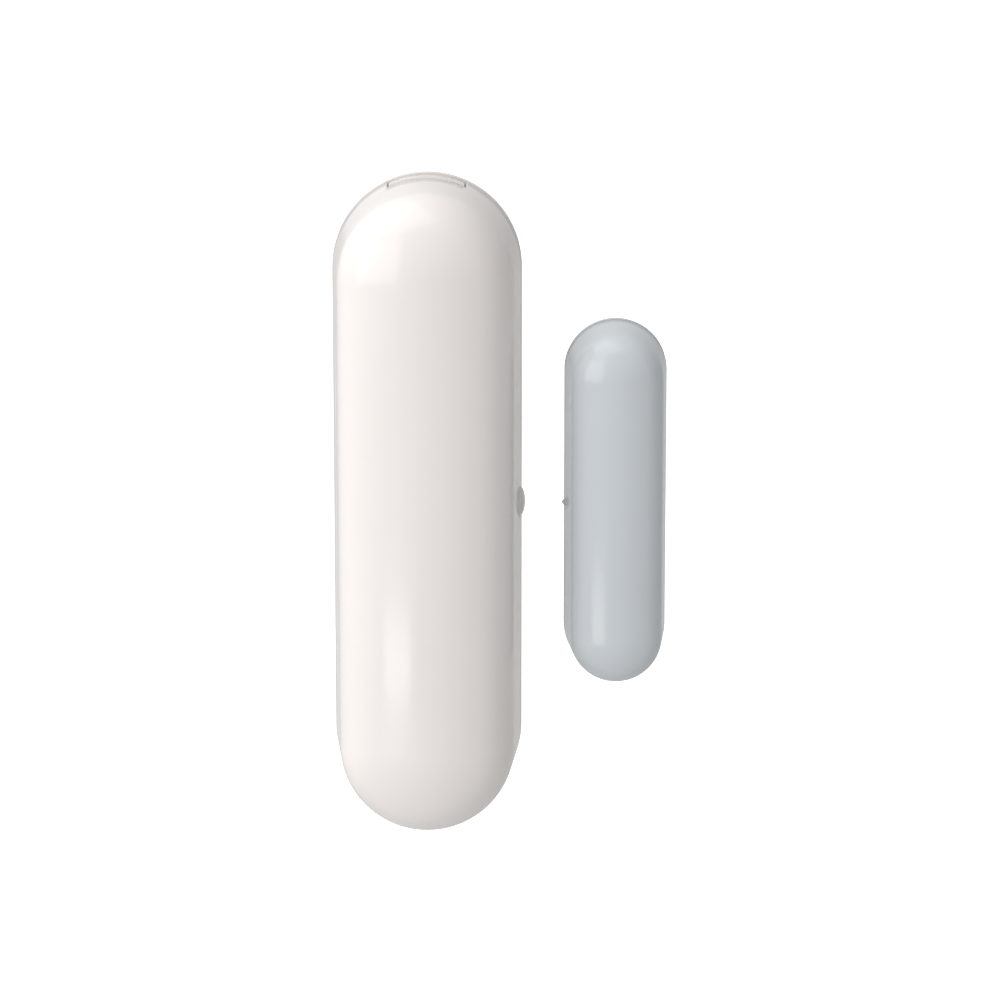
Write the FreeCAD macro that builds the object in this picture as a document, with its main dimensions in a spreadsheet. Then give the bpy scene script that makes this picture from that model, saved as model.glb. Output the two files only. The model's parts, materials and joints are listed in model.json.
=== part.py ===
import FreeCAD, Part
import math
import os

import Sketcher

# Door contact sensor: a battery-powered sensor housing for the door frame and a magnet housing for
# the door.  Millimetres.  The wall is the plane y = 0 and both housings stand in front of it, on the
# -y side, upright along z.  The origin is the middle of the sensor's mounting face.

DRIVING_DIMENSIONS = (
    ("main_width", 23.6),
    ("main_length", 82.0),
    ("main_depth", 20.0),
    ("main_wall", 1.6),
    ("main_floor", 2.0),
    ("main_crown", 18.0),
    ("main_edge", 6.5),
    ("magnet_width", 12.8),
    ("magnet_length", 45.2),
    ("magnet_depth", 13.0),
    ("magnet_wall", 1.3),
    ("magnet_floor", 1.6),
    ("magnet_crown", 9.0),
    ("magnet_edge", 3.4),
    ("unit_gap", 5.3),
    ("parting_gap", 0.2),
    ("draft_angle", 5.0),
    ("back_chamfer", 0.4),
    ("rim_thickness", 1.1),
    ("rim_height", 2.4),
    ("rim_clearance", 0.45),
    ("mark_radius", 2.57),
    ("mark_proud", 0.55),
    ("nib_proud", 0.5),
    ("notch_width", 9.7),
    ("notch_height", 3.2),
    ("latch_gap", 0.2),
    ("latch_thickness", 1.2),
    ("latch_bead", 0.4),
    ("board_thickness", 1.0),
    ("board_standoff", 2.6),
    ("board_half_width", 9.1),
    ("board_bottom", 6.9),
    ("board_top", 27.0),
    ("board_tongue", 11.5),
    ("boss_radius", 2.2),
    ("cell_radius", 7.8),
    ("cell_length", 27.0),
    ("cell_bottom", 33.4),
    ("cell_clearance", 0.25),
    ("nub_length", 1.5),
    ("sleeve_thickness", 0.12),
    ("metal_sheet", 0.3),
    ("strip_sheet", 0.2),
    ("reed_radius", 1.0),
    ("reed_length", 14.0),
    ("reed_side", 7.7),
    ("reed_height", 1.8),
    ("lead_radius", 0.25),
    ("blade_thickness", 0.2),
    ("plunger_radius", 1.5),
    ("plunger_fit", 0.08),
    ("tamper_up", 20.0),
    ("screw_hole_radius", 1.8),
    ("screw_hole_low", 21.0),
    ("screw_hole_high", 33.0),
    ("magnet_hole_radius", 1.6),
    ("magnet_hole_up", 17.0),
    ("bar_width", 6.0),
    ("bar_length", 25.0),
    ("pad_thickness", 0.8),
    ("fit_gap", 0.02),
    ("key_post_x", 6.8),
    ("key_post_z", 23.6),
    ("saddle_low", 27.5),
    ("saddle_high", 12.5),
    ("saddle_width", 12.0),
    ("saddle_thickness", 1.2),
    ("saddle_height", 4.5),
    ("cell_hollow_fit", 0.1),
    ("cell_hollow_middle", 20.5),
    ("cell_hollow_length", 27.4),
    ("holder_side", 3.1),
    ("holder_width", 1.2),
    ("holder_thickness", 0.9),
    ("holder_down", 36.4),
    ("holder_height", 5.0),
    ("pilot_radius", 0.97),
    ("pilot_depth", 3.4),
    ("sink_radius", 3.4),
    ("sink_depth", 0.8),
    ("tape_width", 17.0),
    ("tape_height", 28.0),
    ("tape_clearance", 0.2),
    ("lug_side", 5.0),
    ("lug_width", 1.6),
    ("lug_thickness", 1.7),
    ("lug_height", 2.0),
    ("lug_down", 37.9),
    ("lug_slot_width", 2.4),
    ("lug_slot_height", 4.0),
    ("lug_slot_down", 37.6),
    ("notch_reach", 5.0),
    ("mark_level", 5.0),
    ("latch_root_inset", 1.15),
    ("latch_root_width", 6.0),
    ("tongue_width", 2.3),
    ("tongue_height", 6.0),
    ("board_screw_hole", 1.1),
    ("plunger_hole", 0.9),
    ("board_corner", 2.5),
    ("screw_head_radius", 1.8),
    ("screw_head_height", 1.1),
    ("screw_shank_radius", 0.95),
    ("screw_shank_length", 4.2),
    ("cross_length", 2.2),
    ("cross_width", 0.5),
    ("cross_depth", 0.6),
    ("reed_wall", 0.22),
    ("reed_end_glass", 1.2),
    ("lead_reach", 2.4),
    ("leaf_width", 0.9),
    ("leaf_overlap", 0.7),
    ("leaf_gap", 0.02),
    ("antenna_sheet", 0.4),
    ("antenna_strip_width", 1.6),
    ("antenna_length", 11.0),
    ("antenna_x", 8.2),
    ("antenna_z", 16.0),
    ("antenna_lift", 3.4),
    ("antenna_foot_height", 3.5),
    ("antenna_foot_width", 1.0),
    ("antenna_foot_low", 11.0),
    ("antenna_foot_high", 14.0),
    ("pairing_side", 4.2),
    ("pairing_thickness", 1.7),
    ("pairing_x", 5.6),
    ("pairing_z", 19.6),
    ("pairing_well", 1.25),
    ("pairing_well_depth", 0.9),
    ("button_radius", 1.15),
    ("button_length", 1.5),
    ("button_depth", 0.5),
    ("plunger_out", 1.3),
    ("flange_radius", 2.2),
    ("flange_thickness", 0.4),
    ("stem_radius", 0.7),
    ("stem_length", 3.0),
    ("tamper_side", 4.0),
    ("tamper_thickness", 2.6),
    ("tamper_well", 0.9),
    ("tamper_well_depth", 1.6),
    ("tamper_coil_radius", 1.6),
    ("tamper_wire", 0.14),
    ("tamper_coil_length", 0.6),
    ("tamper_coil_rest", 0.55),
    ("sleeve_end", 0.3),
    ("cap_radius", 3.2),
    ("gasket_radius", 5.4),
    ("gasket_thickness", 0.4),
    ("gasket_fit", 0.05),
    ("blade_width", 7.0),
    ("blade_height", 8.6),
    ("contact_foot_width", 5.0),
    ("contact_foot_length", 2.6),
    ("contact_gap", 0.2),
    ("contact_foot_rise", 1.35),
    ("plate_down", 3.6),
    ("plate_side", 7.4),
    ("plate_lift", 2.6),
    ("plate_foot_width", 4.0),
    ("plate_foot_height", 2.4),
    ("cell_coil_low", 3.0),
    ("cell_coil_high", 1.8),
    ("cell_coil_wire", 0.25),
    ("cell_coil_length", 3.06),
    ("cell_coil_rest", 0.27),
    ("strip_side", 7.1),
    ("strip_turn", 30.9),
    ("strip_top", 6.2),
    ("strip_width", 1.6),
    ("strip_bend_width", 1.4),
    ("magnet_rim_height", 1.8),
    ("stop_width", 4.0),
    ("stop_thickness", 1.0),
    ("stop_height", 4.0),
    ("stop_gap", 0.7),
    ("magnet_tape_width", 7.4),
    ("magnet_tape_height", 24.0),
    ("nib_root_radius", 1.0),
    ("nib_tip_radius", 0.15),
    ("nib_root_depth", 0.7),
    ("nib_level", 4.2),
    ("bar_thickness", 5.0),
    ("bar_rounding", 0.4),
    ("foam_width", 4.4),
    ("foam_thickness", 4.6),
    ("foam_height", 18.0),
    ("shield_sheet", 0.2),
    ("drum_radius", 2.5),
    ("drum_height", 4.6),
    ("lens_inset", 0.25),
    ("small_part_width", 0.8),
    ("small_part_thickness", 0.5),
    ("small_part_height", 1.4),
)

# Square parts on the board: name, width, thickness, height, and x and z of the middle.
FLAT_PARTS = (
    ("microcontroller", 6.0, 0.9, 6.0, 1.4, 2.6),
    ("radio_chip", 4.0, 0.8, 4.0, -0.6, 12.0),
    ("radio_shield", 10.0, 2.0, 8.0, -0.6, 12.0),
    ("crystal", 1.6, 0.8, 3.2, -7.4, 11.0),
    ("capacitor", 5.2, 0.8, 5.2, -5.6, 4.0),
    ("status_led", 1.6, 0.4, 0.8, 4.2, 19.0),
)
FLAT_PART_SIZES = ("width", "thickness", "height", "x", "z")
TAMPER_TURNS = 1.25
CELL_COIL_TURNS = 3

document = FreeCAD.newDocument("door_contact_sensor")
dims = document.addObject("Spreadsheet::Sheet", "dims")
flat_sizes = [(f"{name}_{size}", value) for name, *values in FLAT_PARTS
              for size, value in zip(FLAT_PART_SIZES, values)]
for row, (alias, value) in enumerate((*DRIVING_DIMENSIONS, *flat_sizes), start=1):
    dims.set(f"A{row}", alias)
    dims.set(f"B{row}", str(value))
    dims.setAlias(f"B{row}", alias)
document.recompute()

nodes = []

# Planes and centres that several pieces share, as expressions on the sheet.
MAIN_STRAIGHT = "(dims.main_length - dims.main_width)"
MAGNET_STRAIGHT = "(dims.magnet_length - dims.magnet_width)"
MAGNET_X = "(dims.main_width / 2 + dims.unit_gap + dims.magnet_width / 2)"
FLOOR = "-dims.main_floor"
BOARD_FRONT = "(-dims.main_floor - dims.board_standoff - dims.board_thickness)"
CELL_Y = "(-dims.main_floor - dims.cell_clearance - dims.cell_radius)"
CELL_FOOT = "-dims.cell_bottom"
CAN_LENGTH = "(dims.cell_length - dims.nub_length)"
REED_Y = f"({BOARD_FRONT} - dims.reed_height)"


def number(expression):
    """The present value of an expression on the sheet."""
    return float(dims.evalExpression(str(expression)))


def bind(item, **expressions):
    for name, expression in expressions.items():
        item.setExpression(name, str(expression))


def keep(item, name):
    """Mark an object as a finished piece of the sensor."""
    item.Label = name
    nodes.append(item)
    return item


def place(item, x=0, y=0, z=0):
    for axis, expression in zip("xyz", (x, y, z)):
        item.setExpression(f"Placement.Base.{axis}", str(expression))
    return item


# ---------------------------------------------------------------- plain solids and their booleans


def block(name, width, depth, height, x, rear, z):
    """A box centred on x and z that reaches depth forward of its rear face."""
    box = document.addObject("Part::Box", name)
    bind(box, Length=width, Width=depth, Height=height)
    return place(box, f"{x} - ({width}) / 2", f"{rear} - ({depth})", f"{z} - ({height}) / 2")


def stud(name, radius, depth, x, rear, z):
    """A cylinder that stands forward of its rear face."""
    cylinder = document.addObject("Part::Cylinder", name)
    cylinder.Placement = FreeCAD.Placement(FreeCAD.Vector(), FreeCAD.Rotation(FreeCAD.Vector(1, 0, 0), 90))
    bind(cylinder, Radius=radius, Height=depth)
    return place(cylinder, x, rear, z)


def rod(name, radius, length, x, y, foot):
    """A cylinder that stands up from its foot along z."""
    cylinder = document.addObject("Part::Cylinder", name)
    bind(cylinder, Radius=radius, Height=length)
    return place(cylinder, x, y, foot)


def ball(name, radius, x, y, z):
    sphere = document.addObject("Part::Sphere", name)
    bind(sphere, Radius=radius)
    return place(sphere, x, y, z)


def cut(name, base, tool):
    result = document.addObject("Part::Cut", name)
    result.Base = base
    result.Tool = tool
    return result


def fuse(name, *items):
    result = document.addObject("Part::MultiFuse", name)
    result.Shapes = list(items)
    return result


def group(name, items):
    """Separate solids that share one name."""
    result = document.addObject("Part::Compound", name)
    result.Links = list(items)
    return result


# ---------------------------------------------------------------- sketches


def sketch_on(body, name, plane, offset=0):
    """An empty sketch on one of the body's own origin planes, offset along that plane's normal."""
    sketch = body.newObject("Sketcher::SketchObject", name)
    support = next(item for item in body.Origin.OriginFeatures if item.Role == plane)
    sketch.AttachmentSupport = [(support, "")]
    sketch.MapMode = "FlatFace"
    sketch.setExpression("AttachmentOffset.Base.z", str(offset))
    return sketch


def constrain(sketch, kind, *arguments, value=None):
    """Add a constraint; a value is an expression on the sheet that then drives it."""
    if value is None:
        return sketch.addConstraint(Sketcher.Constraint(kind, *arguments))
    present = number(value)
    if kind == "Angle":
        present = math.radians(present)
        value = f"({value}) * 1 deg"
    index = sketch.addConstraint(Sketcher.Constraint(kind, *arguments, present))
    sketch.setExpression(f"Constraints[{index}]", str(value))
    return index


ORIGIN = (-1, 1)
V_AXIS = -2


def stadium(sketch, radius, straight):
    """A closed outline of two upright lines and two half-circles, centred on the origin."""
    r = number(radius)
    half = number(straight) / 2
    up = FreeCAD.Vector(0, 0, 1)
    right = sketch.addGeometry(Part.LineSegment(FreeCAD.Vector(r, -half, 0), FreeCAD.Vector(r, half, 0)))
    top_circle = Part.Circle(FreeCAD.Vector(0, half, 0), up, r)
    top = sketch.addGeometry(Part.ArcOfCircle(top_circle, 0, math.pi))
    left = sketch.addGeometry(Part.LineSegment(FreeCAD.Vector(-r, half, 0), FreeCAD.Vector(-r, -half, 0)))
    low_circle = Part.Circle(FreeCAD.Vector(0, -half, 0), up, r)
    low = sketch.addGeometry(Part.ArcOfCircle(low_circle, math.pi, 2 * math.pi))
    for first, second in ((right, top), (top, left), (left, low), (low, right)):
        constrain(sketch, "Tangent", first, 2, second, 1)
    constrain(sketch, "PointOnObject", top, 3, V_AXIS)
    constrain(sketch, "PointOnObject", low, 3, V_AXIS)
    constrain(sketch, "Vertical", right)
    constrain(sketch, "Radius", top, value=radius)
    constrain(sketch, "DistanceY", *ORIGIN, top, 3, value=f"{straight} / 2")
    constrain(sketch, "DistanceY", low, 3, *ORIGIN, value=f"{straight} / 2")


def rectangle(sketch, width, height, x, y):
    """A closed rectangle centred on x and y."""
    x0 = number(f"{x} - ({width}) / 2")
    y0 = number(f"{y} - ({height}) / 2")
    x1 = x0 + number(width)
    y1 = y0 + number(height)
    corners = [FreeCAD.Vector(*corner, 0) for corner in ((x0, y0), (x1, y0), (x1, y1), (x0, y1))]
    lines = [sketch.addGeometry(Part.LineSegment(corners[i], corners[(i + 1) % 4])) for i in range(4)]
    for i in range(4):
        constrain(sketch, "Coincident", lines[i], 2, lines[(i + 1) % 4], 1)
    for line in (lines[0], lines[2]):
        constrain(sketch, "Horizontal", line)
    for line in (lines[1], lines[3]):
        constrain(sketch, "Vertical", line)
    constrain(sketch, "DistanceX", lines[0], 1, lines[0], 2, value=width)
    constrain(sketch, "DistanceY", lines[1], 1, lines[1], 2, value=height)
    constrain(sketch, "DistanceX", *ORIGIN, lines[0], 1, value=f"{x} - ({width}) / 2")
    constrain(sketch, "DistanceY", *ORIGIN, lines[0], 1, value=f"{y} - ({height}) / 2")


def circle(sketch, radius, x, y):
    centre = FreeCAD.Vector(number(x), number(y), 0)
    index = sketch.addGeometry(Part.Circle(centre, FreeCAD.Vector(0, 0, 1), number(radius)))
    constrain(sketch, "Radius", index, value=radius)
    constrain(sketch, "DistanceX", *ORIGIN, index, 3, value=x)
    constrain(sketch, "DistanceY", *ORIGIN, index, 3, value=y)


def dome_points(half_width, parting, depth, edge, crown, draft):
    """Corner points of the right half of a domed section: foot, side end, edge centre, crown end."""
    foot = FreeCAD.Vector(half_width, parting, 0)
    crown_centre = FreeCAD.Vector(0, crown - depth, 0)
    side_normal = FreeCAD.Vector(math.cos(draft), -math.sin(draft), 0)
    reach = (-edge - side_normal.dot(crown_centre - foot)) / (crown - edge)
    turn = math.asin(reach) - draft
    forward = FreeCAD.Vector(math.sin(turn), -math.cos(turn), 0)
    edge_centre = crown_centre + forward * (crown - edge)
    return foot, edge_centre + side_normal * edge, edge_centre, crown_centre + forward * crown


def arc_between(sketch, centre, start, end):
    """A counter-clockwise arc about centre."""
    radius = (start - centre).Length
    angles = [math.atan2(point.y - centre.y, point.x - centre.x) for point in (start, end)]
    return sketch.addGeometry(Part.ArcOfCircle(Part.Circle(centre, FreeCAD.Vector(0, 0, 1), radius), *angles))


def dome_section(sketch, half_width, parting, depth, edge, crown, whole):
    """The domed section of a housing: drafted side, edge arc and crown arc, whole or right half."""
    draft = number("dims.draft_angle")
    values = [number(value) for value in (half_width, parting, depth, edge, crown)]
    foot, side_end, edge_centre, crown_end = dome_points(*values, math.radians(draft))
    crown_centre = FreeCAD.Vector(0, values[4] - values[2], 0)
    mirror = [FreeCAD.Vector(-point.x, point.y, 0) for point in (foot, side_end, edge_centre, crown_end)]
    apex = FreeCAD.Vector(0, -values[2], 0)
    side = sketch.addGeometry(Part.LineSegment(side_end, foot))
    edge_arc = arc_between(sketch, edge_centre, crown_end, side_end)
    crown_arc = arc_between(sketch, crown_centre, mirror[3] if whole else apex, crown_end)
    constrain(sketch, "Tangent", edge_arc, 2, side, 1)
    constrain(sketch, "Tangent", crown_arc, 2, edge_arc, 1)
    if whole:
        left_edge = arc_between(sketch, mirror[2], mirror[1], mirror[3])
        left_side = sketch.addGeometry(Part.LineSegment(mirror[0], mirror[1]))
        back = sketch.addGeometry(Part.LineSegment(foot, mirror[0]))
        constrain(sketch, "Tangent", left_edge, 2, crown_arc, 1)
        constrain(sketch, "Tangent", left_side, 2, left_edge, 1)
        constrain(sketch, "Coincident", back, 2, left_side, 1)
        constrain(sketch, "Symmetric", back, 1, back, 2, V_AXIS)
        constrain(sketch, "Equal", left_edge, edge_arc)
        constrain(sketch, "Angle", left_side, value="dims.draft_angle - 90")
    else:
        axis = sketch.addGeometry(Part.LineSegment(FreeCAD.Vector(0, values[1], 0), apex))
        back = sketch.addGeometry(Part.LineSegment(foot, FreeCAD.Vector(0, values[1], 0)))
        constrain(sketch, "Coincident", back, 2, axis, 1)
        constrain(sketch, "Coincident", axis, 2, crown_arc, 1)
        constrain(sketch, "Horizontal", back)
        constrain(sketch, "PointOnObject", axis, 1, V_AXIS)
        constrain(sketch, "PointOnObject", axis, 2, V_AXIS)
    constrain(sketch, "Coincident", side, 2, back, 1)
    constrain(sketch, "PointOnObject", crown_arc, 3, V_AXIS)
    constrain(sketch, "Angle", side, value="90 - dims.draft_angle")
    constrain(sketch, "Radius", edge_arc, value=edge)
    constrain(sketch, "Radius", crown_arc, value=crown)
    constrain(sketch, "DistanceX", *ORIGIN, back, 1, value=half_width)
    constrain(sketch, "DistanceY", back, 1, *ORIGIN, value=f"-({parting})")
    constrain(sketch, "DistanceY", *ORIGIN, crown_arc, 3, value=f"{crown} - ({depth})")


# ---------------------------------------------------------------- features of a body


def new_body(name):
    return keep(document.addObject("PartDesign::Body", name), name)


def pad(body, name, sketch, length, midplane=False):
    feature = body.newObject("PartDesign::Pad", name)
    feature.Profile = sketch
    feature.SideType = "Symmetric" if midplane else "One side"
    bind(feature, Length=length)
    return feature


def pocket(body, name, sketch, length, reverse=False, midplane=False):
    """Cut a sketch into the body, and make sure that it took material away."""
    document.recompute()
    before = body.Shape.Volume
    feature = body.newObject("PartDesign::Pocket", name)
    feature.Profile = sketch
    feature.SideType = "Symmetric" if midplane else "One side"
    feature.Reversed = reverse
    bind(feature, Length=length)
    document.recompute()
    if body.Shape.Volume > before - 0.05:
        raise RuntimeError(f"{name} cuts nothing")
    return feature


def turned(body, kind, name, sketch):
    """A Revolution or a Groove of a sketch about its own upright axis."""
    feature = body.newObject(kind, name)
    feature.Profile = sketch
    feature.ReferenceAxis = (sketch, ["V_Axis"])
    feature.Angle = 360
    return feature


def domed_solid(body, prefix, cutting, half_width, parting, depth, edge, crown, straight):
    """A long dome: a straight run of the section and a turned half-dome at each end."""
    run = sketch_on(body, f"{prefix}_section", "XY_Plane")
    dome_section(run, half_width, parting, depth, edge, crown, whole=True)
    if cutting:
        pocket(body, f"{prefix}_run", run, straight, midplane=True)
    else:
        pad(body, f"{prefix}_run", run, straight, midplane=True)
    kind = "PartDesign::Groove" if cutting else "PartDesign::Revolution"
    for end, sign in (("upper", ""), ("lower", "-")):
        half = sketch_on(body, f"{prefix}_{end}_section", "XY_Plane", f"{sign}{straight} / 2")
        dome_section(half, half_width, parting, depth, edge, crown, whole=False)
        turned(body, kind, f"{prefix}_{end}_end", half)


def shell(body, prefix, width, depth, wall, edge, crown, straight, floor):
    """A hollow domed cover, open towards the wall."""
    parting = f"(-{floor} - dims.parting_gap)"
    domed_solid(body, prefix, False, f"{width} / 2", parting, depth, edge, crown, straight)
    document.recompute()
    domed_solid(
        body, f"{prefix}_inside", True, f"{width} / 2 - {wall}", parting,
        f"{depth} - {wall}", f"{edge} - {wall}", f"{crown} - {wall}", straight,
    )


def dress(body, kind, name, size, wanted):
    """A Chamfer or a Fillet on the edges whose bounding box is wanted."""
    document.recompute()
    last = body.Tip
    edges = [f"Edge{index}" for index, edge in enumerate(body.Shape.Edges, start=1)
             if wanted(edge.BoundBox)]
    feature = body.newObject(f"PartDesign::{kind}", name)
    feature.Base = (last, edges)
    bind(feature, **{"Size" if kind == "Chamfer" else "Radius": size})
    document.recompute()


def base_plate(body, prefix, width, straight, floor, wall, rim_height):
    """The floor of a housing with the low rim that the cover slips over."""
    plate = sketch_on(body, f"{prefix}_outline", "XZ_Plane")
    stadium(plate, f"{width} / 2", straight)
    pad(body, f"{prefix}_floor", plate, floor)
    dress(body, "Chamfer", f"{prefix}_back_edge", "dims.back_chamfer", lambda box: box.YMin > -0.001)
    outer = f"({width} / 2 - {wall} - dims.rim_clearance)"
    ring = sketch_on(body, f"{prefix}_rim_outline", "XZ_Plane", floor)
    stadium(ring, outer, straight)
    stadium(ring, f"({outer} - dims.rim_thickness)", straight)
    pad(body, f"{prefix}_rim", ring, rim_height)


# ---------------------------------------------------------------- sensor housing


def rear_base():
    """The wall plate: rim, board bosses, cell cradle, screw holes and recess for the tape."""
    body = new_body("rear_base")
    base_plate(body, "base", "dims.main_width", MAIN_STRAIGHT, "dims.main_floor", "dims.main_wall",
               "dims.rim_height")

    bosses = sketch_on(body, "boss_outline", "XZ_Plane", "dims.main_floor")
    for x, z in BOARD_SCREWS:
        circle(bosses, "dims.boss_radius", x, z)
    circle(bosses, "dims.boss_radius * 0.7", "-dims.key_post_x", "dims.key_post_z")
    pad(body, "bosses", bosses, "dims.board_standoff")

    saddles = sketch_on(body, "saddle_outline", "XZ_Plane", "dims.main_floor")
    for z in ("-dims.saddle_low", "-dims.saddle_high"):
        rectangle(saddles, "dims.saddle_width", "dims.saddle_thickness", "0", z)
    pad(body, "saddles", saddles, "dims.saddle_height")
    hollow = sketch_on(body, "cell_hollow_outline", "XY_Plane", "-dims.cell_hollow_middle")
    circle(hollow, "dims.cell_radius + dims.cell_hollow_fit", "0", CELL_Y)
    pocket(body, "cell_hollow", hollow, "dims.cell_hollow_length", midplane=True)

    holders = sketch_on(body, "contact_holder_outline", "XZ_Plane", "dims.main_floor")
    for x in ("-dims.holder_side", "dims.holder_side"):
        rectangle(holders, "dims.holder_width", "dims.holder_thickness", x, "-dims.holder_down")
    pad(body, "contact_holders", holders, "dims.holder_height")

    pilots = sketch_on(body, "pilot_outline", "XZ_Plane", "dims.main_floor + dims.board_standoff")
    for x, z in BOARD_SCREWS:
        circle(pilots, "dims.pilot_radius", x, z)
    pocket(body, "pilot_holes", pilots, "dims.pilot_depth")

    holes = sketch_on(body, "hole_outline", "XZ_Plane", "dims.main_floor + 1")
    circle(holes, "dims.screw_hole_radius", "0", "-dims.screw_hole_low")
    circle(holes, "dims.screw_hole_radius", "0", "dims.screw_hole_high")
    circle(holes, "dims.plunger_radius + dims.plunger_fit", "0", "dims.tamper_up")
    pocket(body, "through_holes", holes, "dims.main_floor + 2")

    sinks = sketch_on(body, "sink_outline", "XZ_Plane", "dims.main_floor")
    circle(sinks, "dims.sink_radius", "0", "-dims.screw_hole_low")
    circle(sinks, "dims.sink_radius", "0", "dims.screw_hole_high")
    pocket(body, "screw_sinks", sinks, "dims.sink_depth")

    recess = sketch_on(body, "tape_recess_outline", "XZ_Plane")
    rectangle(recess, "dims.tape_width", "dims.tape_height", "0", "0")
    pocket(body, "tape_recess", recess, "dims.pad_thickness", reverse=True)

    lugs = sketch_on(body, "lug_notch_outline", "XZ_Plane", "dims.main_floor + dims.rim_height + 0.5")
    for x in ("-dims.lug_side", "dims.lug_side"):
        rectangle(lugs, "dims.lug_slot_width", "dims.lug_slot_height", x, "-dims.lug_slot_down")
    pocket(body, "lug_notches", lugs, "dims.rim_height + 0.4")


def front_cover():
    """The long domed cover, with a notch for the latch and the alignment mark on its right side."""
    body = new_body("front_cover")
    shell(body, "cover", "dims.main_width", "dims.main_depth", "dims.main_wall", "dims.main_edge",
          "dims.main_crown", MAIN_STRAIGHT, "dims.main_floor")

    notch_front = "(dims.main_floor + dims.parting_gap + dims.notch_height)"
    notch = sketch_on(body, "latch_notch_outline", "XZ_Plane", notch_front)
    rectangle(notch, "dims.notch_width", "dims.notch_reach", "0", "dims.main_length / 2 - 1")
    pocket(body, "latch_notch", notch, "dims.notch_height + 0.2")

    lugs = sketch_on(body, "lug_outline", "XZ_Plane", "dims.main_floor + dims.parting_gap")
    for x in ("-dims.lug_side", "dims.lug_side"):
        rectangle(lugs, "dims.lug_width", "dims.lug_thickness", x, "-dims.lug_down")
    pad(body, "lugs", lugs, "dims.lug_height")

    mark_x = "(dims.main_width / 2 + dims.mark_proud - dims.mark_radius)"
    dome = ball("mark_ball", "dims.mark_radius", mark_x, "-dims.mark_level", "0")
    clip = block("mark_clip", "4", "8", "8", "dims.main_width / 2 + 1.5", "-1", "0")
    mark = document.addObject("Part::Common", "mark_cap")
    mark.Base = dome
    mark.Tool = clip
    return fuse_onto(body, mark)


def fuse_onto(body, addition):
    """A body joined with one added solid; the joined piece takes the body's place and name."""
    name = body.Label
    nodes.remove(body)
    body.Label = f"{name}_body"
    joined = fuse(f"{name}_piece", body, addition)
    return keep(joined, name)


def release_latch():
    """The springy tab that fills the cover's notch; pressing it in frees the cover."""
    body = new_body("release_latch")
    outer = number("dims.main_width / 2 - dims.latch_gap")
    inner = outer - number("dims.latch_thickness")
    half = number("dims.notch_width / 2 - dims.latch_gap")
    centre = FreeCAD.Vector(0, number(MAIN_STRAIGHT) / 2, 0)
    start = "(dims.main_floor + 2 * dims.latch_gap)"
    sketch = sketch_on(body, "latch_outline", "XZ_Plane", start)
    ends = [FreeCAD.Vector(side * half, centre.y + math.sqrt(radius ** 2 - half ** 2), 0)
            for radius, side in ((outer, 1), (outer, -1), (inner, 1), (inner, -1))]
    face = arc_between(sketch, centre, ends[0], ends[1])
    back = arc_between(sketch, centre, ends[2], ends[3])
    right = sketch.addGeometry(Part.LineSegment(ends[2], ends[0]))
    left = sketch.addGeometry(Part.LineSegment(ends[3], ends[1]))
    constrain(sketch, "Coincident", right, 2, face, 1)
    constrain(sketch, "Coincident", right, 1, back, 1)
    constrain(sketch, "Coincident", left, 2, face, 2)
    constrain(sketch, "Coincident", left, 1, back, 2)
    constrain(sketch, "Coincident", face, 3, back, 3)
    constrain(sketch, "Vertical", right)
    constrain(sketch, "Vertical", left)
    constrain(sketch, "PointOnObject", face, 3, V_AXIS)
    constrain(sketch, "Radius", face, value="dims.main_width / 2 - dims.latch_gap")
    constrain(sketch, "Radius", back, value="dims.main_width / 2 - dims.latch_gap - dims.latch_thickness")
    constrain(sketch, "DistanceY", *ORIGIN, face, 3, value=f"{MAIN_STRAIGHT} / 2")
    constrain(sketch, "DistanceX", *ORIGIN, right, 1, value="dims.notch_width / 2 - dims.latch_gap")
    constrain(sketch, "DistanceX", left, 1, *ORIGIN, value="dims.notch_width / 2 - dims.latch_gap")
    pad(body, "latch_tab", sketch, "dims.notch_height - 2 * dims.latch_gap")
    bead = sketch_on(body, "latch_bead_outline", "YZ_Plane")
    circle(bead, "dims.latch_bead", f"-{start} - 0.1", "dims.main_length / 2 - dims.latch_root_inset")
    pad(body, "latch_root", bead, "dims.latch_root_width", midplane=True)


def mounting_tape():
    """Double-sided foam tape in the recess of the wall plate."""
    keep(block("adhesive_pad", "dims.tape_width - dims.tape_clearance", "dims.pad_thickness",
               "dims.tape_height - dims.tape_clearance", "0", "0", "0"), "adhesive_pad")


# ---------------------------------------------------------------- circuit board and its parts

# Middles of the board's two screws and of its small parts, as (x, z).
BOARD_SCREWS = (("-6.7", "-3.3"), ("6.3", "24.2"))
SMALL_PARTS = (
    ("-3.2", "-1.4"), ("-1.4", "-1.9"), ("0.4", "-1.9"), ("3.6", "-1.9"), ("5.4", "1.2"), ("5.4", "4.4"),
    ("-0.6", "7"), ("2.2", "7"), ("5.4", "10"), ("5.4", "12.4"), ("-7.4", "14.4"), ("3.2", "23.6"),
    ("1.2", "24.6"),
)


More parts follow.
